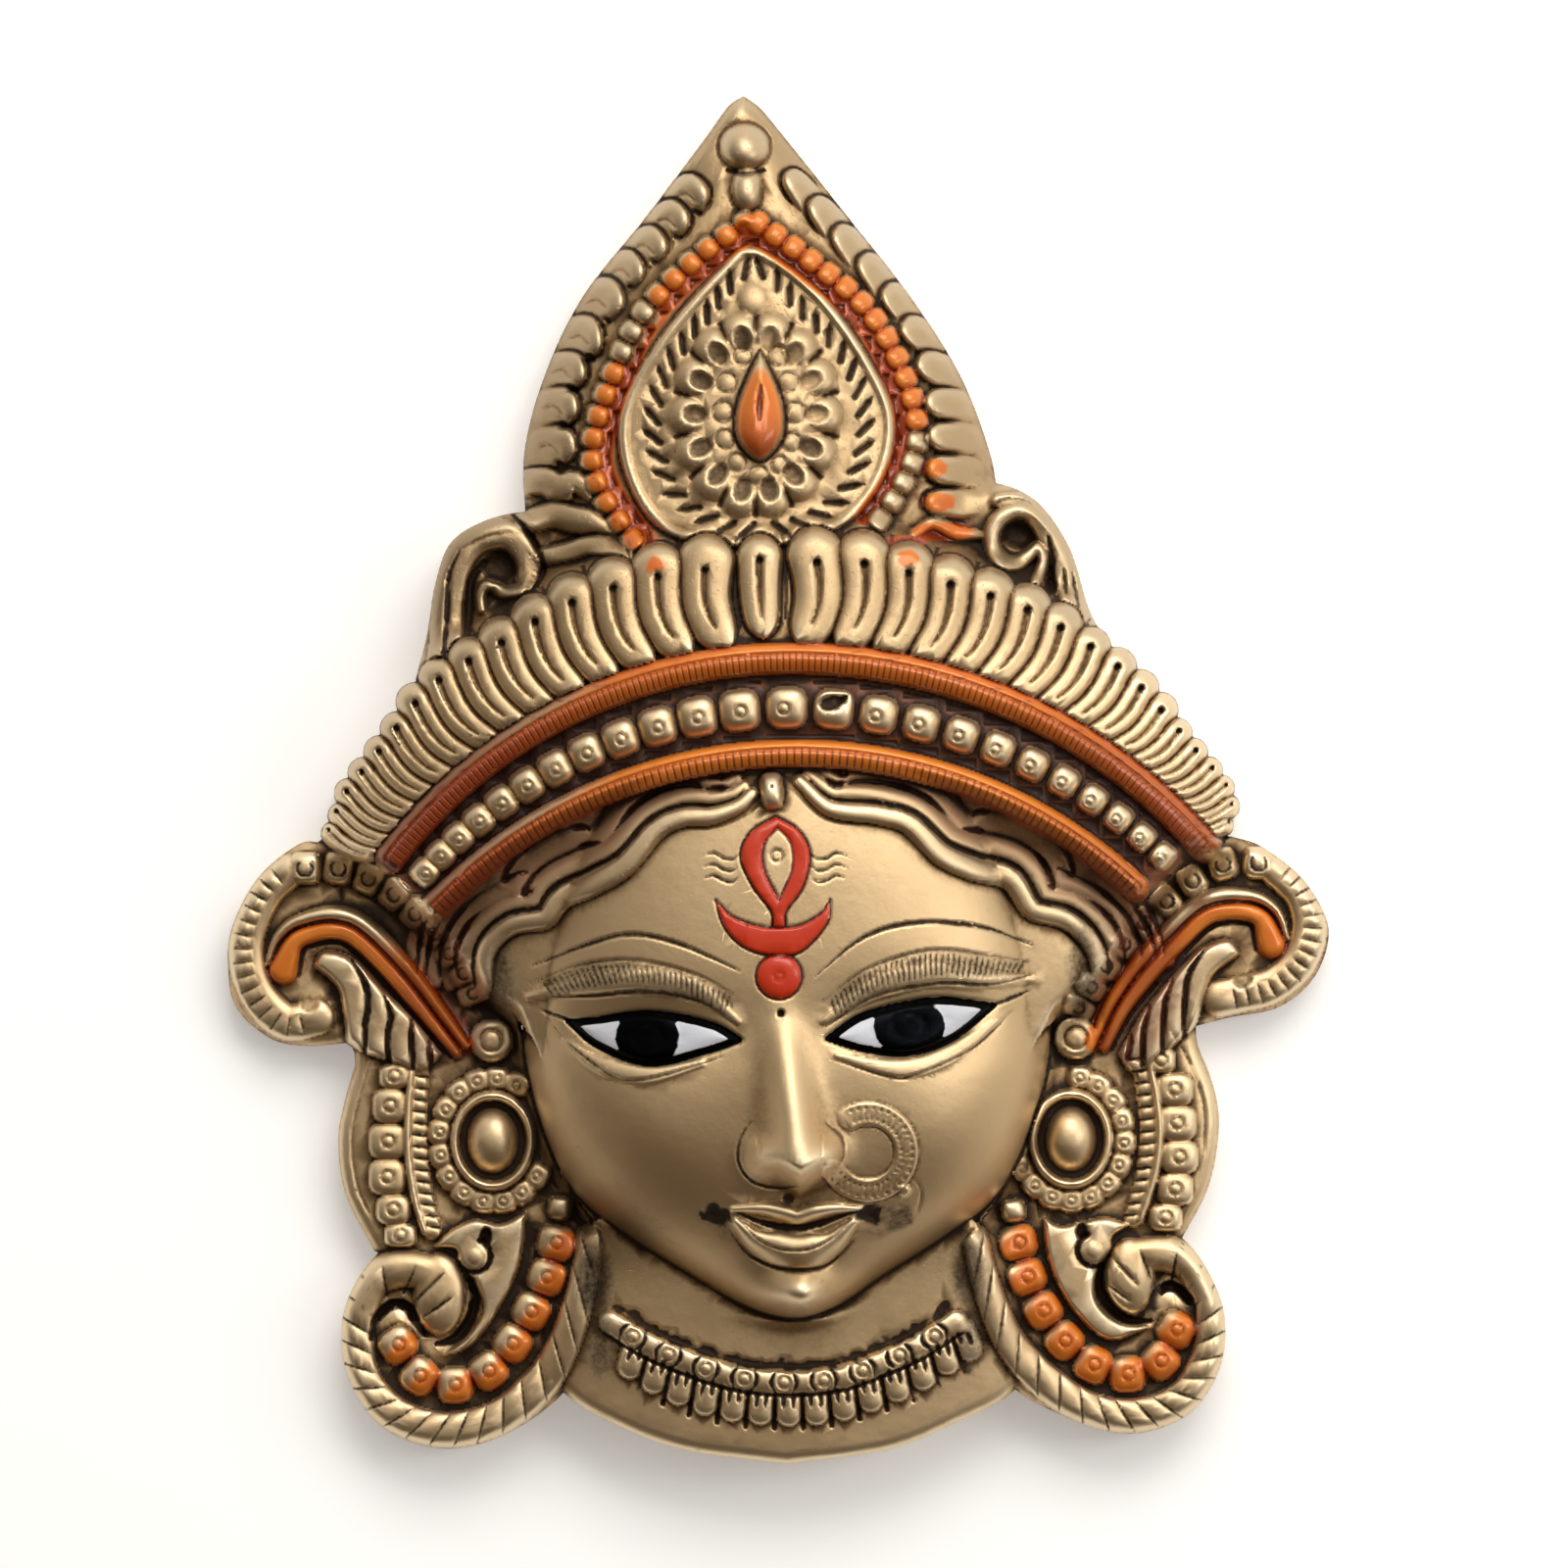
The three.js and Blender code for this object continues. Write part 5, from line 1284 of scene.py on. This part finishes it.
def make_neck():
    """A smooth bar of punched links with a ragged dark edge above and an apron of tongues below."""
    groove = smooth([(-39.1, -124.6), (-30.7, -129.6), (-21.6, -133.5), (-12.6, -136.5), (-4.2, -138),
                     (5.4, -138.3), (15, -137.1), (23.5, -134.1), (32.5, -130.1), (41.5, -124.4)])
    bar = offset(groove, 2.9)
    feet = smooth([(-34, -134.6), (-28.2, -138.3), (-16.8, -143.1), (-2.1, -145), (12, -144.5),
                   (24.4, -140.9), (34.9, -136.5), (43.9, -130.2)])
    tongues = []
    for k in range(TONGUES):
        foot, _ = along(feet, k / (TONGUES - 1))
        level = np.interp(foot[0], groove[:, 0], groove[:, 1]) + 0.4
        top = np.array([foot[0] - 0.06 * (foot[0] - 2), level])
        tongues.append((top, foot))
        rib(np.array([top + (foot - top) * t for t in np.linspace(0, 0.62, 7)]), 6.2, 2.7, power=0.3)
    for (top, foot), (next_top, next_foot) in zip(tongues, tongues[1:]):
        a, b = (top + next_top) / 2, (foot + next_foot) / 2
        cut(np.array([a, (a + b) / 2, b + (b - a) * 0.12]), 1.2, 1.6, 0.7, 1.0, 0.95)
    for top, foot in tongues:
        for hand in (-1.1, 1.1):
            start = top + (hand, -0.6)
            line = np.array([start + (foot - top) * t for t in (0, 0.2, 0.42)])
            cut(line, 1.1, 1.1, 1.0, 0.1, 0.95)
    rib(bar, 6.2, 3.2, 0.9, 0.9, power=0.35)
    for share in np.linspace(0.07, 0.93, 9):
        spot, way = along(bar, share)
        across = np.array([-way[1], way[0]])
        punch(*spot, 1.3, 0.6)
        for hand in (-1, 1):
            middle = spot + way * hand * 2.9
            bow = way * hand * -0.9
            cut([middle + across * 2.2 + bow, middle, middle - across * 2.2 + bow], 1.1, 1.0, 0.4, 0.4, 0.95)
    cut(groove, 1.0, 1.0, 0.8, 0.8, 0.95)
    where, distance, _, _ = measure(offset(groove, 6.6), 3)
    ragged = 1.0 + 1.1 * noise(0.6, 12)[where]
    colour("grime_and_shade", where, 0.95 * fall(ragged - distance, -0.6, 0.5))
    relief[where] -= 0.5 * fall(ragged - distance, -0.6, 0.6)


# Wear, dirt, patina and painted shade over the whole


def make_patina_and_shade():
    """Painted shade at the jaw, neck and left side, dark patches where parts meet, a dull film on the crown.
    """
    # A dull film over the crown that is partly painted shade, and painted shade down the left side of the
    # head.
    paint["tarnish_and_shade"][:] = 0.55 * fall(Y, 16, 40) + 0.45 * fall(-X, 20, 90) * fall(Y, -20, 10)
    # Painted shade over the left cheek and jaw, lighter over the right jaw.
    for x, y, rx, ry, amount in ((-38, -101, 17, 11, 1.0), (34, -106, 14, 7, 0.4), (-46, -84, 8, 18, 0.35)):
        paint_oval("tarnish_and_shade", x, y, rx * 1.5, ry * 1.5, 0.9, amount)
    # Dark patches at the jaw and on the neck under it are painted shade; the rest darken the temples, under
    # the ear discs and the tail tips.
    for x, y, rx, ry, amount in (
        (-41, -113, 4.5, 9, 0.8), (42.5, -111, 4.5, 9, 0.75), (-40, -128, 4, 9, 0.7), (44, -124, 3, 9, 0.65),
        (-62, -46, 4, 12, 0.7), (68, -44, 4, 12, 0.7), (-64, -103, 10, 4, 0.45), (62, -101, 10, 4, 0.4),
        (-100, -15.6, 4, 4, 0.4), (99, -14.4, 3, 3, 0.35), (25, -125, 6, 2.4, 0.5),
    ):
        paint_oval("grime_and_shade", x, y, rx * 1.6, ry * 1.6, 0.7, amount)


make_bodies()
make_peak()
make_hook_left()
make_hook_right()
make_tiara()
make_tails()
make_ears()
make_tassels()
clear_face()
make_hair()
make_face()
make_neck()
make_patina_and_shade()


# From the map to one closed mesh

HOLLOW_RIMS = (  # behind the peak, the tiara, the face and the neck
    outline([(-7.5, 136), (-34, 104), (-44, 78), (-44, 54), (-34, 30)], [(-34, 30), (28, 30)],
            [(28, 30), (38, 54), (37, 78), (22, 104), (-7.5, 136)]),
    outline([(-82, -10), (-60, 12), (-46, 34), (3, 44), (48, 36), (64, 14), (86, -8)],
            [(86, -8), (72, -18), (4, -2), (-66, -18), (-82, -10)]),
    smooth([(-62, -20), (-30, 16), (3, 22), (34, 16), (66, -20), (60, -60), (48, -92), (2, -112),
            (-44, -92), (-56, -60)], closed=True),
    smooth([(-44, -122), (-40, -135), (-20, -144), (2, -147), (24, -144), (42, -136), (48, -122),
            (30, -100), (-28, -100)], closed=True),
)


def hollow_height(top):
    """The hollow behind: the ground again, lower by the wall, within the rim."""
    shell = blur(top, 3.0) - WALL - 1.0
    field = np.full_like(X, -20.0)
    for line in HOLLOW_RIMS:
        where, _, depth = depth_within(line, 8)
        field[where] = np.maximum(field[where], np.minimum(depth, 8))
    return np.where(field > 0, np.clip(shell, 0, None) * fall(field, 0, 7), 0)


def final_heights():
    """The front: rounded at the outline and lightly hammered, but hardly on the plain face."""
    edge = np.clip(1 - cover / EDGE_ROUND, 0, 1)
    drop = EDGE_ROUND * (1 - np.sqrt(1 - edge**2))
    hammered = 0.10 * noise(2.2, 3) + 0.05 * noise(0.9, 5)
    face_like = fall(9 - np.abs(ground - face_height(X, Y)) * 9, 0, 5) * ON_FACE
    top = ground + relief - drop + hammered * (1 - 0.85 * face_like)
    return np.maximum(top, RIM_LEVEL)


def line_borders():
    """Grid points just outside the painted and engraved lines of the face and neck."""
    marked = np.max([paint[name] for name in ("grime_and_shade", "black", "red")], axis=0) > 0.06
    near = marked
    for _ in range(2):
        near = np.any([near] + [np.roll(near, by, axis) for by in (1, -1) for axis in (0, 1)], axis=0)
    return near & ~marked & (ON_FACE | inside(NECK, EVERYWHERE))


def mesh_from_map(name, top, bottom):
    """Closes the map into a solid and numbers its upper vertices; those by the outline move onto it."""
    covered = cover > -0.5 * PITCH
    kept = covered[:-1, :-1] & covered[1:, :-1] & covered[:-1, 1:] & covered[1:, 1:]
    high, wide = kept.shape
    touching = np.zeros(X.shape, int)
    for dy in (0, 1):
        for dx in (0, 1):
            touching[dy : high + dy, dx : wide + dx] += kept
    used = touching > 0
    border = used & (touching < 4)
    slope_y, slope_x = np.gradient(cover, PITCH)
    steep = np.maximum(np.hypot(slope_x, slope_y), 0.3)
    shift = np.where(border, -np.clip(cover, -0.9 * PITCH, 0.9 * PITCH) / steep, 0)
    x = X + shift * slope_x / steep
    y = Y + shift * slope_y / steep
    count = int(used.sum())
    index = np.full(X.shape, -1)
    index[used] = np.arange(count)
    upper = np.stack([x[used], y[used], top[used]], 1)
    lower = np.stack([x[used], y[used], np.where(border, 0, bottom)[used]], 1)
    rows, cols = np.nonzero(kept)
    quads = np.stack([index[rows, cols], index[rows, cols + 1],
                      index[rows + 1, cols + 1], index[rows + 1, cols]], 1)
    sides = np.vstack([quads[:, pair] for pair in ([0, 1], [1, 2], [2, 3], [3, 0])])
    there = sides[:, 0] * count + sides[:, 1]
    back = sides[:, 1] * count + sides[:, 0]
    rim = sides[~np.isin(there, back)]
    skirt = np.stack([rim[:, 1], rim[:, 0], rim[:, 0] + count, rim[:, 1] + count], 1)
    faces = np.vstack([quads, quads[:, ::-1] + count, skirt])
    mesh = bpy.data.meshes.new(name)
    vertices = np.vstack([upper, lower]) * MM
    mesh.vertices.add(len(vertices))
    mesh.vertices.foreach_set("co", vertices.ravel())
    mesh.loops.add(faces.size)
    mesh.loops.foreach_set("vertex_index", faces.ravel().astype(np.int32))
    mesh.polygons.add(len(faces))
    mesh.polygons.foreach_set("loop_start", np.arange(0, faces.size, 4, dtype=np.int32))
    mesh.update(calc_edges=True)
    return mesh, index


def sample(image, points):
    """Values of a map at points, between its grid points."""
    u = np.clip((points[:, 0] - GRID_X[0]) / PITCH, 0, len(GRID_X) - 1.001)
    v = np.clip((points[:, 1] - GRID_Y[0]) / PITCH, 0, len(GRID_Y) - 1.001)
    i, j = u.astype(int), v.astype(int)
    fu, fv = u - i, v - j
    return (
        image[j, i] * (1 - fu) * (1 - fv) + image[j, i + 1] * fu * (1 - fv)
        + image[j + 1, i] * (1 - fu) * fv + image[j + 1, i + 1] * fu * fv
    )


def build_mask():
    """The mask's object: the closed map, thinned out except by fine lines, with the paint layers."""
    top = final_heights()
    bottom = np.minimum(hollow_height(ground), top - LEAST_THICKNESS)
    mesh, index = mesh_from_map("brass_mask", top, np.maximum(bottom, 0))
    mask = bpy.data.objects.new("brass_mask", mesh)
    bpy.context.collection.objects.link(mask)
    triangles = 2 * len(mesh.polygons)
    thin = mask.modifiers.new("thin", "DECIMATE")
    thin.ratio = MOST_TRIANGLES / triangles
    thin.use_collapse_triangulate = True
    kept = index[line_borders() & (index >= 0)]
    mask.vertex_groups.new(name="fine_lines").add(kept.tolist(), 1.0, "REPLACE")
    thin.vertex_group = "fine_lines"
    thin.invert_vertex_group = True
    evaluated = mask.evaluated_get(bpy.context.evaluated_depsgraph_get())
    final = bpy.data.meshes.new_from_object(evaluated)
    mask.modifiers.clear()
    mask.vertex_groups.clear()
    mask.data = final
    final.name = "brass_mask"
    bpy.data.meshes.remove(mesh)
    final.polygons.foreach_set("use_smooth", np.ones(len(final.polygons), bool))
    points = np.empty(3 * len(final.vertices))
    final.vertices.foreach_get("co", points)
    low, high = np.array(cad_box) / MM
    points = np.clip(points.reshape(-1, 3) / MM, low + (BOX_GAP, BOX_GAP, 0), high - BOX_GAP)
    final.vertices.foreach_set("co", (points * MM).ravel())
    final.update()
    front = points[:, 2] > sample(top, points) - PAINT_REACH
    recess = np.clip(blur(top, 0.9) - top, -1, 1) + 0.3 * np.clip((blur(top, 3.2) - top) / 3.0, -1, 1)
    layers = dict(paint, recess=recess)
    for name, image in layers.items():
        attribute = final.attributes.new(name, "FLOAT", "POINT")
        attribute.data.foreach_set("value", np.where(front, sample(image, points), 0).astype(np.float32))
    return mask


# Finishes


def group(name, inputs, outputs):
    """A shader node group with its ends; returns the tree, its input node and output node."""
    tree = bpy.data.node_groups.new(name, "ShaderNodeTree")
    for label, kind, default in inputs:
        socket = tree.interface.new_socket(label, in_out="INPUT", socket_type=kind)
        socket.default_value = default
    for label, kind in outputs:
        tree.interface.new_socket(label, in_out="OUTPUT", socket_type=kind)
    return tree, tree.nodes.new("NodeGroupInput"), tree.nodes.new("NodeGroupOutput")


class Wires:
    """Short calls for adding nodes to a tree."""

    def __init__(self, tree):
        self.tree = tree

    def node(self, kind, **settings):
        made = self.tree.nodes.new(kind)
        for key, value in settings.items():
            setattr(made, key, value)
        return made

    def join(self, source, target):
        self.tree.links.new(source, target)

    def put(self, socket, value):
        if hasattr(value, "node"):
            self.join(value, socket)
        else:
            socket.default_value = value

    def math(self, operation, a, b=0.0, clamp=False):
        made = self.node("ShaderNodeMath", operation=operation, use_clamp=clamp)
        self.put(made.inputs[0], a)
        self.put(made.inputs[1], b)
        return made.outputs[0]

    def times(self, a, b, clamp=False):
        return self.math("MULTIPLY", a, b, clamp)

    def plus(self, a, b):
        return self.math("ADD", a, b)

    def less(self, a, b, clamp=False):
        return self.math("SUBTRACT", a, b, clamp)

    def most(self, a, b):
        return self.math("MAXIMUM", a, b)

    def mix(self, factor, a, b):
        made = self.node("ShaderNodeMix", data_type="RGBA")
        self.put(made.inputs[0], factor)
        self.put(made.inputs[6], a)
        self.put(made.inputs[7], b)
        return made.outputs[2]

    def blend(self, factor, a, b):
        made = self.node("ShaderNodeMix", data_type="FLOAT")
        self.put(made.inputs[0], factor)
        self.put(made.inputs[2], a)
        self.put(made.inputs[3], b)
        return made.outputs[0]

    def range(self, value, low, high, to_low=0.0, to_high=1.0):
        made = self.node("ShaderNodeMapRange", interpolation_type="SMOOTHSTEP")
        for socket, amount in zip(made.inputs, (value, low, high, to_low, to_high)):
            self.put(socket, amount)
        return made.outputs[0]

    def noise(self, scale, detail, roughness):
        where = self.node("ShaderNodeTexCoord").outputs["Object"]
        made = self.node("ShaderNodeTexNoise")
        self.join(where, made.inputs["Vector"])
        for label, value in (("Scale", scale), ("Detail", detail), ("Roughness", roughness)):
            made.inputs[label].default_value = value
        return made.outputs["Fac"]

    def layer(self, name):
        return self.node("ShaderNodeAttribute", attribute_name=name).outputs["Fac"]

    def use(self, tree, **values):
        made = self.node("ShaderNodeGroup", node_tree=tree)
        for label, value in values.items():
            self.put(made.inputs[label], value)
        return made


def colour_of(red, green, blue):
    """A colour given as it looks on screen, from 0 to 255, as the linear values shaders take."""
    linear = (((c / 255 + 0.055) / 1.055) ** 2.4 if c > 10 else c / 3295 for c in (red, green, blue))
    return (*linear, 1.0)


BRASS, BRASS_LIGHT = colour_of(192, 164, 124), colour_of(208, 181, 141)
# Rubbed brass is lighter on raised parts, partly a painted highlight; tarnished brass is partly painted
# shade.
BRASS_RUBBED_AND_HIGHLIGHT, BRASS_TARNISHED_AND_SHADED = colour_of(226, 204, 168), colour_of(124, 100, 71)
# The darkest tone serves deep dirt and the painted shade at the jaw and neck.
BROWN_FILM, DIRT_AND_SHADE = colour_of(116, 88, 56), colour_of(40, 26, 14)
# Dark red serves the lacquer and the painted shadow under the tiara.
MAROON, MAROON_DEEP = colour_of(112, 44, 20), colour_of(44, 18, 10)
ORANGE, ORANGE_LIGHT, ORANGE_RUBBED_AND_HIGHLIGHT = colour_of(188, 88, 18), colour_of(208, 110, 26), colour_of(226, 142, 52)
ORANGE_SHADE, ORANGE_FILM = colour_of(126, 40, 18), colour_of(150, 54, 16)
ORANGE_DIRT, ORANGE_TARNISHED_AND_SHADED = colour_of(66, 20, 8), colour_of(150, 62, 18)
RED, RED_DEEP = colour_of(186, 48, 15), colour_of(106, 22, 9)
WHITE, BLACK = colour_of(196, 198, 206), colour_of(10, 11, 13)


def patina_group():
    """How dark the metal is: a thin brown film in dips, black dirt in the deepest lines, and painted shade.
    """
    tree, inputs, outputs = group(
        "patina",
        [("Recess", "NodeSocketFloat", 0.0), ("Dirt", "NodeSocketFloat", 0.0)],
        [("Film", "NodeSocketFloat"), ("Dark", "NodeSocketFloat"), ("Bright", "NodeSocketFloat")],
    )
    w = Wires(tree)
    speckle = w.noise(900, 5, 0.65)
    cloud = w.noise(110, 4, 0.6)
    uneven = w.less(w.times(w.plus(speckle, cloud), 0.5), 0.5)
    recess = inputs.outputs["Recess"]
    held = w.plus(recess, w.times(uneven, 0.8))
    w.join(w.range(held, -0.05, 0.65), outputs.inputs["Film"])
    # The dirt input also carries the painted shade at the jaw and neck.
    dirt = w.plus(inputs.outputs["Dirt"], w.times(uneven, 0.9))
    dark = w.most(w.range(held, 0.42, 1.0), w.range(dirt, 0.3, 0.95))
    w.join(dark, outputs.inputs["Dark"])
    # Raised parts come out bright: rubbed metal, partly a painted highlight.
    w.join(w.range(w.times(recess, -1.0), 0.1, 0.8), outputs.inputs["Bright"])
    return tree


def comb_group():
    """Fine teeth: their height and the dark between them, where the mask is set."""
    tree, inputs, outputs = group(
        "fine_teeth",
        [("Mask", "NodeSocketFloat", 0.0), ("Place", "NodeSocketFloat", 0.0)],
        [("Height", "NodeSocketFloat"), ("Gap", "NodeSocketFloat")],
    )
    w = Wires(tree)
    turn = w.math("FRACT", inputs.outputs["Place"])
    away = w.times(w.math("ABSOLUTE", w.less(turn, 0.5)), 2.0)
    gap = w.range(away, 0.55, 0.95)
    w.join(w.times(inputs.outputs["Mask"], w.less(1.0, gap)), outputs.inputs["Height"])
    w.join(w.times(inputs.outputs["Mask"], gap), outputs.inputs["Gap"])
    return tree


def surface_group():
    """Fine height of the cast skin, pits and a soft wave, and the cloud that varies its tone."""
    tree, inputs, outputs = group(
        "cast_skin",
        [("Pits", "NodeSocketFloat", 1.0)],
        [("Height", "NodeSocketFloat"), ("Cloud", "NodeSocketFloat")],
    )
    w = Wires(tree)
    pits = w.range(w.noise(1500, 3, 0.6), 0.58, 0.75, 0.0, -0.5)
    waves = w.times(w.noise(260, 3, 0.5), 0.6)
    w.join(w.plus(w.times(pits, inputs.outputs["Pits"]), waves), outputs.inputs["Height"])
    w.join(w.noise(38, 3, 0.55), outputs.inputs["Cloud"])
    return tree


def brass_material():
    """Brass under patina, painted shade and highlight, with dark red and orange lacquer and paint on face and
    mark.
    """
    material = bpy.data.materials.new("antique_brass")
    material.use_nodes = True
    tree = material.node_tree
    w = Wires(tree)
    shader = tree.nodes["Principled BSDF"]
    patina = w.use(patina_group(), Recess=w.layer("recess"), Dirt=w.layer("grime_and_shade"))
    film, dark, bright = (patina.outputs[name] for name in ("Film", "Dark", "Bright"))
    comb = w.use(comb_group(), Mask=w.layer("comb"), Place=w.layer("comb_place"))
    skin = w.use(surface_group(), Pits=w.plus(w.layer("tarnish_and_shade"), 0.2))
    cloud = skin.outputs["Cloud"]
    metal = w.mix(cloud, BRASS, BRASS_LIGHT)
    # Lighter brass on raised parts: rubbed, and partly a painted highlight.
    metal = w.mix(bright, metal, BRASS_RUBBED_AND_HIGHLIGHT)
    # Dull tarnished tone: a film on the crown, and painted shade on the left side and lower face.
    metal = w.mix(w.times(w.layer("tarnish_and_shade"), 0.8), metal, BRASS_TARNISHED_AND_SHADED)
    metal = w.mix(w.times(film, 0.85), metal, BROWN_FILM)
    # Darkest tone in deep dirt, and as painted shade at the jaw and neck.
    metal = w.mix(dark, metal, DIRT_AND_SHADE)
    # The dark red layer: lacquer in channels, and painted shadow under the tiara over the hair.
    shade = w.layer("maroon_and_shade")
    maroon_and_shade = w.mix(film, MAROON, MAROON_DEEP)
    metal = w.mix(w.times(shade, 0.95, clamp=True), metal, maroon_and_shade)
    orange = w.mix(cloud, ORANGE, ORANGE_LIGHT)
    # Lighter lacquer on raised parts: rubbed, and partly a painted highlight.
    orange = w.mix(w.times(bright, 0.5), orange, ORANGE_RUBBED_AND_HIGHLIGHT)
    orange = w.mix(w.times(shade, 0.95, clamp=True), orange, ORANGE_SHADE)
    orange = w.mix(film, orange, ORANGE_FILM)
    orange = w.mix(w.times(w.most(dark, comb.outputs["Gap"]), 0.75), orange, ORANGE_DIRT)
    # Dull tarnished tone on the lacquer, partly painted shade.
    orange = w.mix(w.times(w.layer("tarnish_and_shade"), 0.35), orange, ORANGE_TARNISHED_AND_SHADED)
    red = w.mix(w.range(w.layer("recess"), 0.0, 0.4), RED, RED_DEEP)
    orange_mask = w.range(w.layer("orange"), 0.2, 0.8)
    paints = (w.range(w.layer(name), 0.35, 0.65) for name in ("red", "white", "black"))
    red_mask, white_mask, black_mask = paints
    base = w.mix(orange_mask, metal, orange)
    base = w.mix(red_mask, base, red)
    base = w.mix(white_mask, base, WHITE)
    base = w.mix(black_mask, base, BLACK)
    w.join(base, shader.inputs["Base Color"])
    painted = w.most(red_mask, white_mask)
    lacquered = w.most(w.times(orange_mask, 0.8), painted)
    dull = w.most(lacquered, w.times(dark, 0.7))
    dull = w.most(dull, w.times(shade, 0.8))
    dull = w.times(dull, w.less(1.0, black_mask))
    w.join(w.less(1.0, dull, clamp=True), shader.inputs["Metallic"])
    rough = w.blend(bright, 0.46, 0.4)
    rough = w.blend(w.most(film, dark), rough, 0.6)
    rough = w.blend(w.most(orange_mask, painted), rough, 0.3)
    w.join(rough, shader.inputs["Roughness"])
    glossy = w.most(w.most(orange_mask, red_mask), w.times(shade, 0.2))
    w.join(w.times(glossy, 0.45), shader.inputs["Coat Weight"])
    shader.inputs["Coat Roughness"].default_value = 0.15
    shader.inputs["Specular IOR Level"].default_value = 0.25
    bump = w.node("ShaderNodeBump")
    bump.inputs["Strength"].default_value = 0.4
    bump.inputs["Distance"].default_value = 0.0004
    height = w.plus(skin.outputs["Height"], w.times(comb.outputs["Height"], 2.2))
    w.join(height, bump.inputs["Height"])
    w.join(bump.outputs["Normal"], shader.inputs["Normal"])
    return material


# Camera, floor and light

CAMERA_DISTANCE = 3.0
SENSOR = 36
FLOOR_HALF = 3.0


def make_stage():
    """A pale floor just under the mask."""
    floor_mesh = bpy.data.meshes.new("floor")
    corners = [(x * FLOOR_HALF, y * FLOOR_HALF, 0) for x, y in ((-1, -1), (1, -1), (1, 1), (-1, 1))]
    floor_mesh.from_pydata(corners, [], [(0, 1, 2, 3)])
    floor = bpy.data.objects.new("floor", floor_mesh)
    floor.location.z = -0.0004
    bpy.context.collection.objects.link(floor)
    pale = bpy.data.materials.new("pale_floor")
    pale.use_nodes = True
    shader = pale.node_tree.nodes["Principled BSDF"]
    shader.inputs["Base Color"].default_value = (0.88, 0.88, 0.88, 1)
    shader.inputs["Roughness"].default_value = 0.9
    shader.inputs["Emission Color"].default_value = (1, 1, 1, 1)
    shader.inputs["Emission Strength"].default_value = 0.25
    floor_mesh.materials.append(pale)


def area_light(name, place, size, power, tint=(1, 1, 1)):
    """A rectangular lamp that looks at the mask."""
    data = bpy.data.lights.new(name, "AREA")
    data.shape = "RECTANGLE"
    data.size, data.size_y = size
    data.energy = power
    data.color = tint
    lamp = bpy.data.objects.new(name, data)
    lamp.location = place
    lamp.rotation_mode = "QUATERNION"
    lamp.rotation_quaternion = Vector(np.subtract((0, 0, 0.02), place)).to_track_quat("-Z", "Y")
    bpy.context.collection.objects.link(lamp)


def make_light():
    """A studio that is bright above the crown, plain overhead and dark warm below the chin."""
    world = bpy.data.worlds.new("studio")
    bpy.context.scene.world = world
    world.use_nodes = True
    w = Wires(world.node_tree)
    apart = w.node("ShaderNodeSeparateXYZ")
    w.join(w.node("ShaderNodeTexCoord").outputs["Generated"], apart.inputs[0])
    tilt = w.plus(apart.outputs["Y"], w.times(apart.outputs["X"], 0.4))
    sky = w.mix(w.range(tilt, -0.65, 0.08), (0.1, 0.07, 0.045, 1), (0.5, 0.47, 0.43, 1))
    sky = w.mix(w.range(tilt, -0.05, 0.8), sky, (1.12, 1.1, 1.04, 1))
    background = world.node_tree.nodes["Background"]
    w.join(sky, background.inputs["Color"])
    background.inputs["Strength"].default_value = 1.0
    area_light("key", (0.2, 0.75, 0.8), (0.9, 0.6), 8, (1, 0.97, 0.93))
    area_light("side", (0.85, 0.1, 0.7), (0.3, 0.6), 2)


def make_camera():
    """Straight above, so that the picture lies on the photograph."""
    data = bpy.data.cameras.new("camera")
    data.sensor_width = SENSOR
    data.lens = SENSOR * CAMERA_DISTANCE / (PHOTO_PIXELS * MM_PER_PIXEL * MM)
    data.clip_end = 20
    camera = bpy.data.objects.new("camera", data)
    x, y = (PHOTO_PIXELS / 2 - np.array(MIDDLE_PIXEL)) * MM_PER_PIXEL * MM
    camera.location = (x, -y, CAMERA_DISTANCE + 0.02)
    bpy.context.collection.objects.link(camera)
    bpy.context.scene.camera = camera


make_camera()
make_stage()
make_light()
mask = build_mask()
mask.data.materials.clear()
mask.data.materials.append(brass_material())
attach(mask, "root")
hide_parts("mask")
bpy.context.scene.view_settings.view_transform = "Standard"
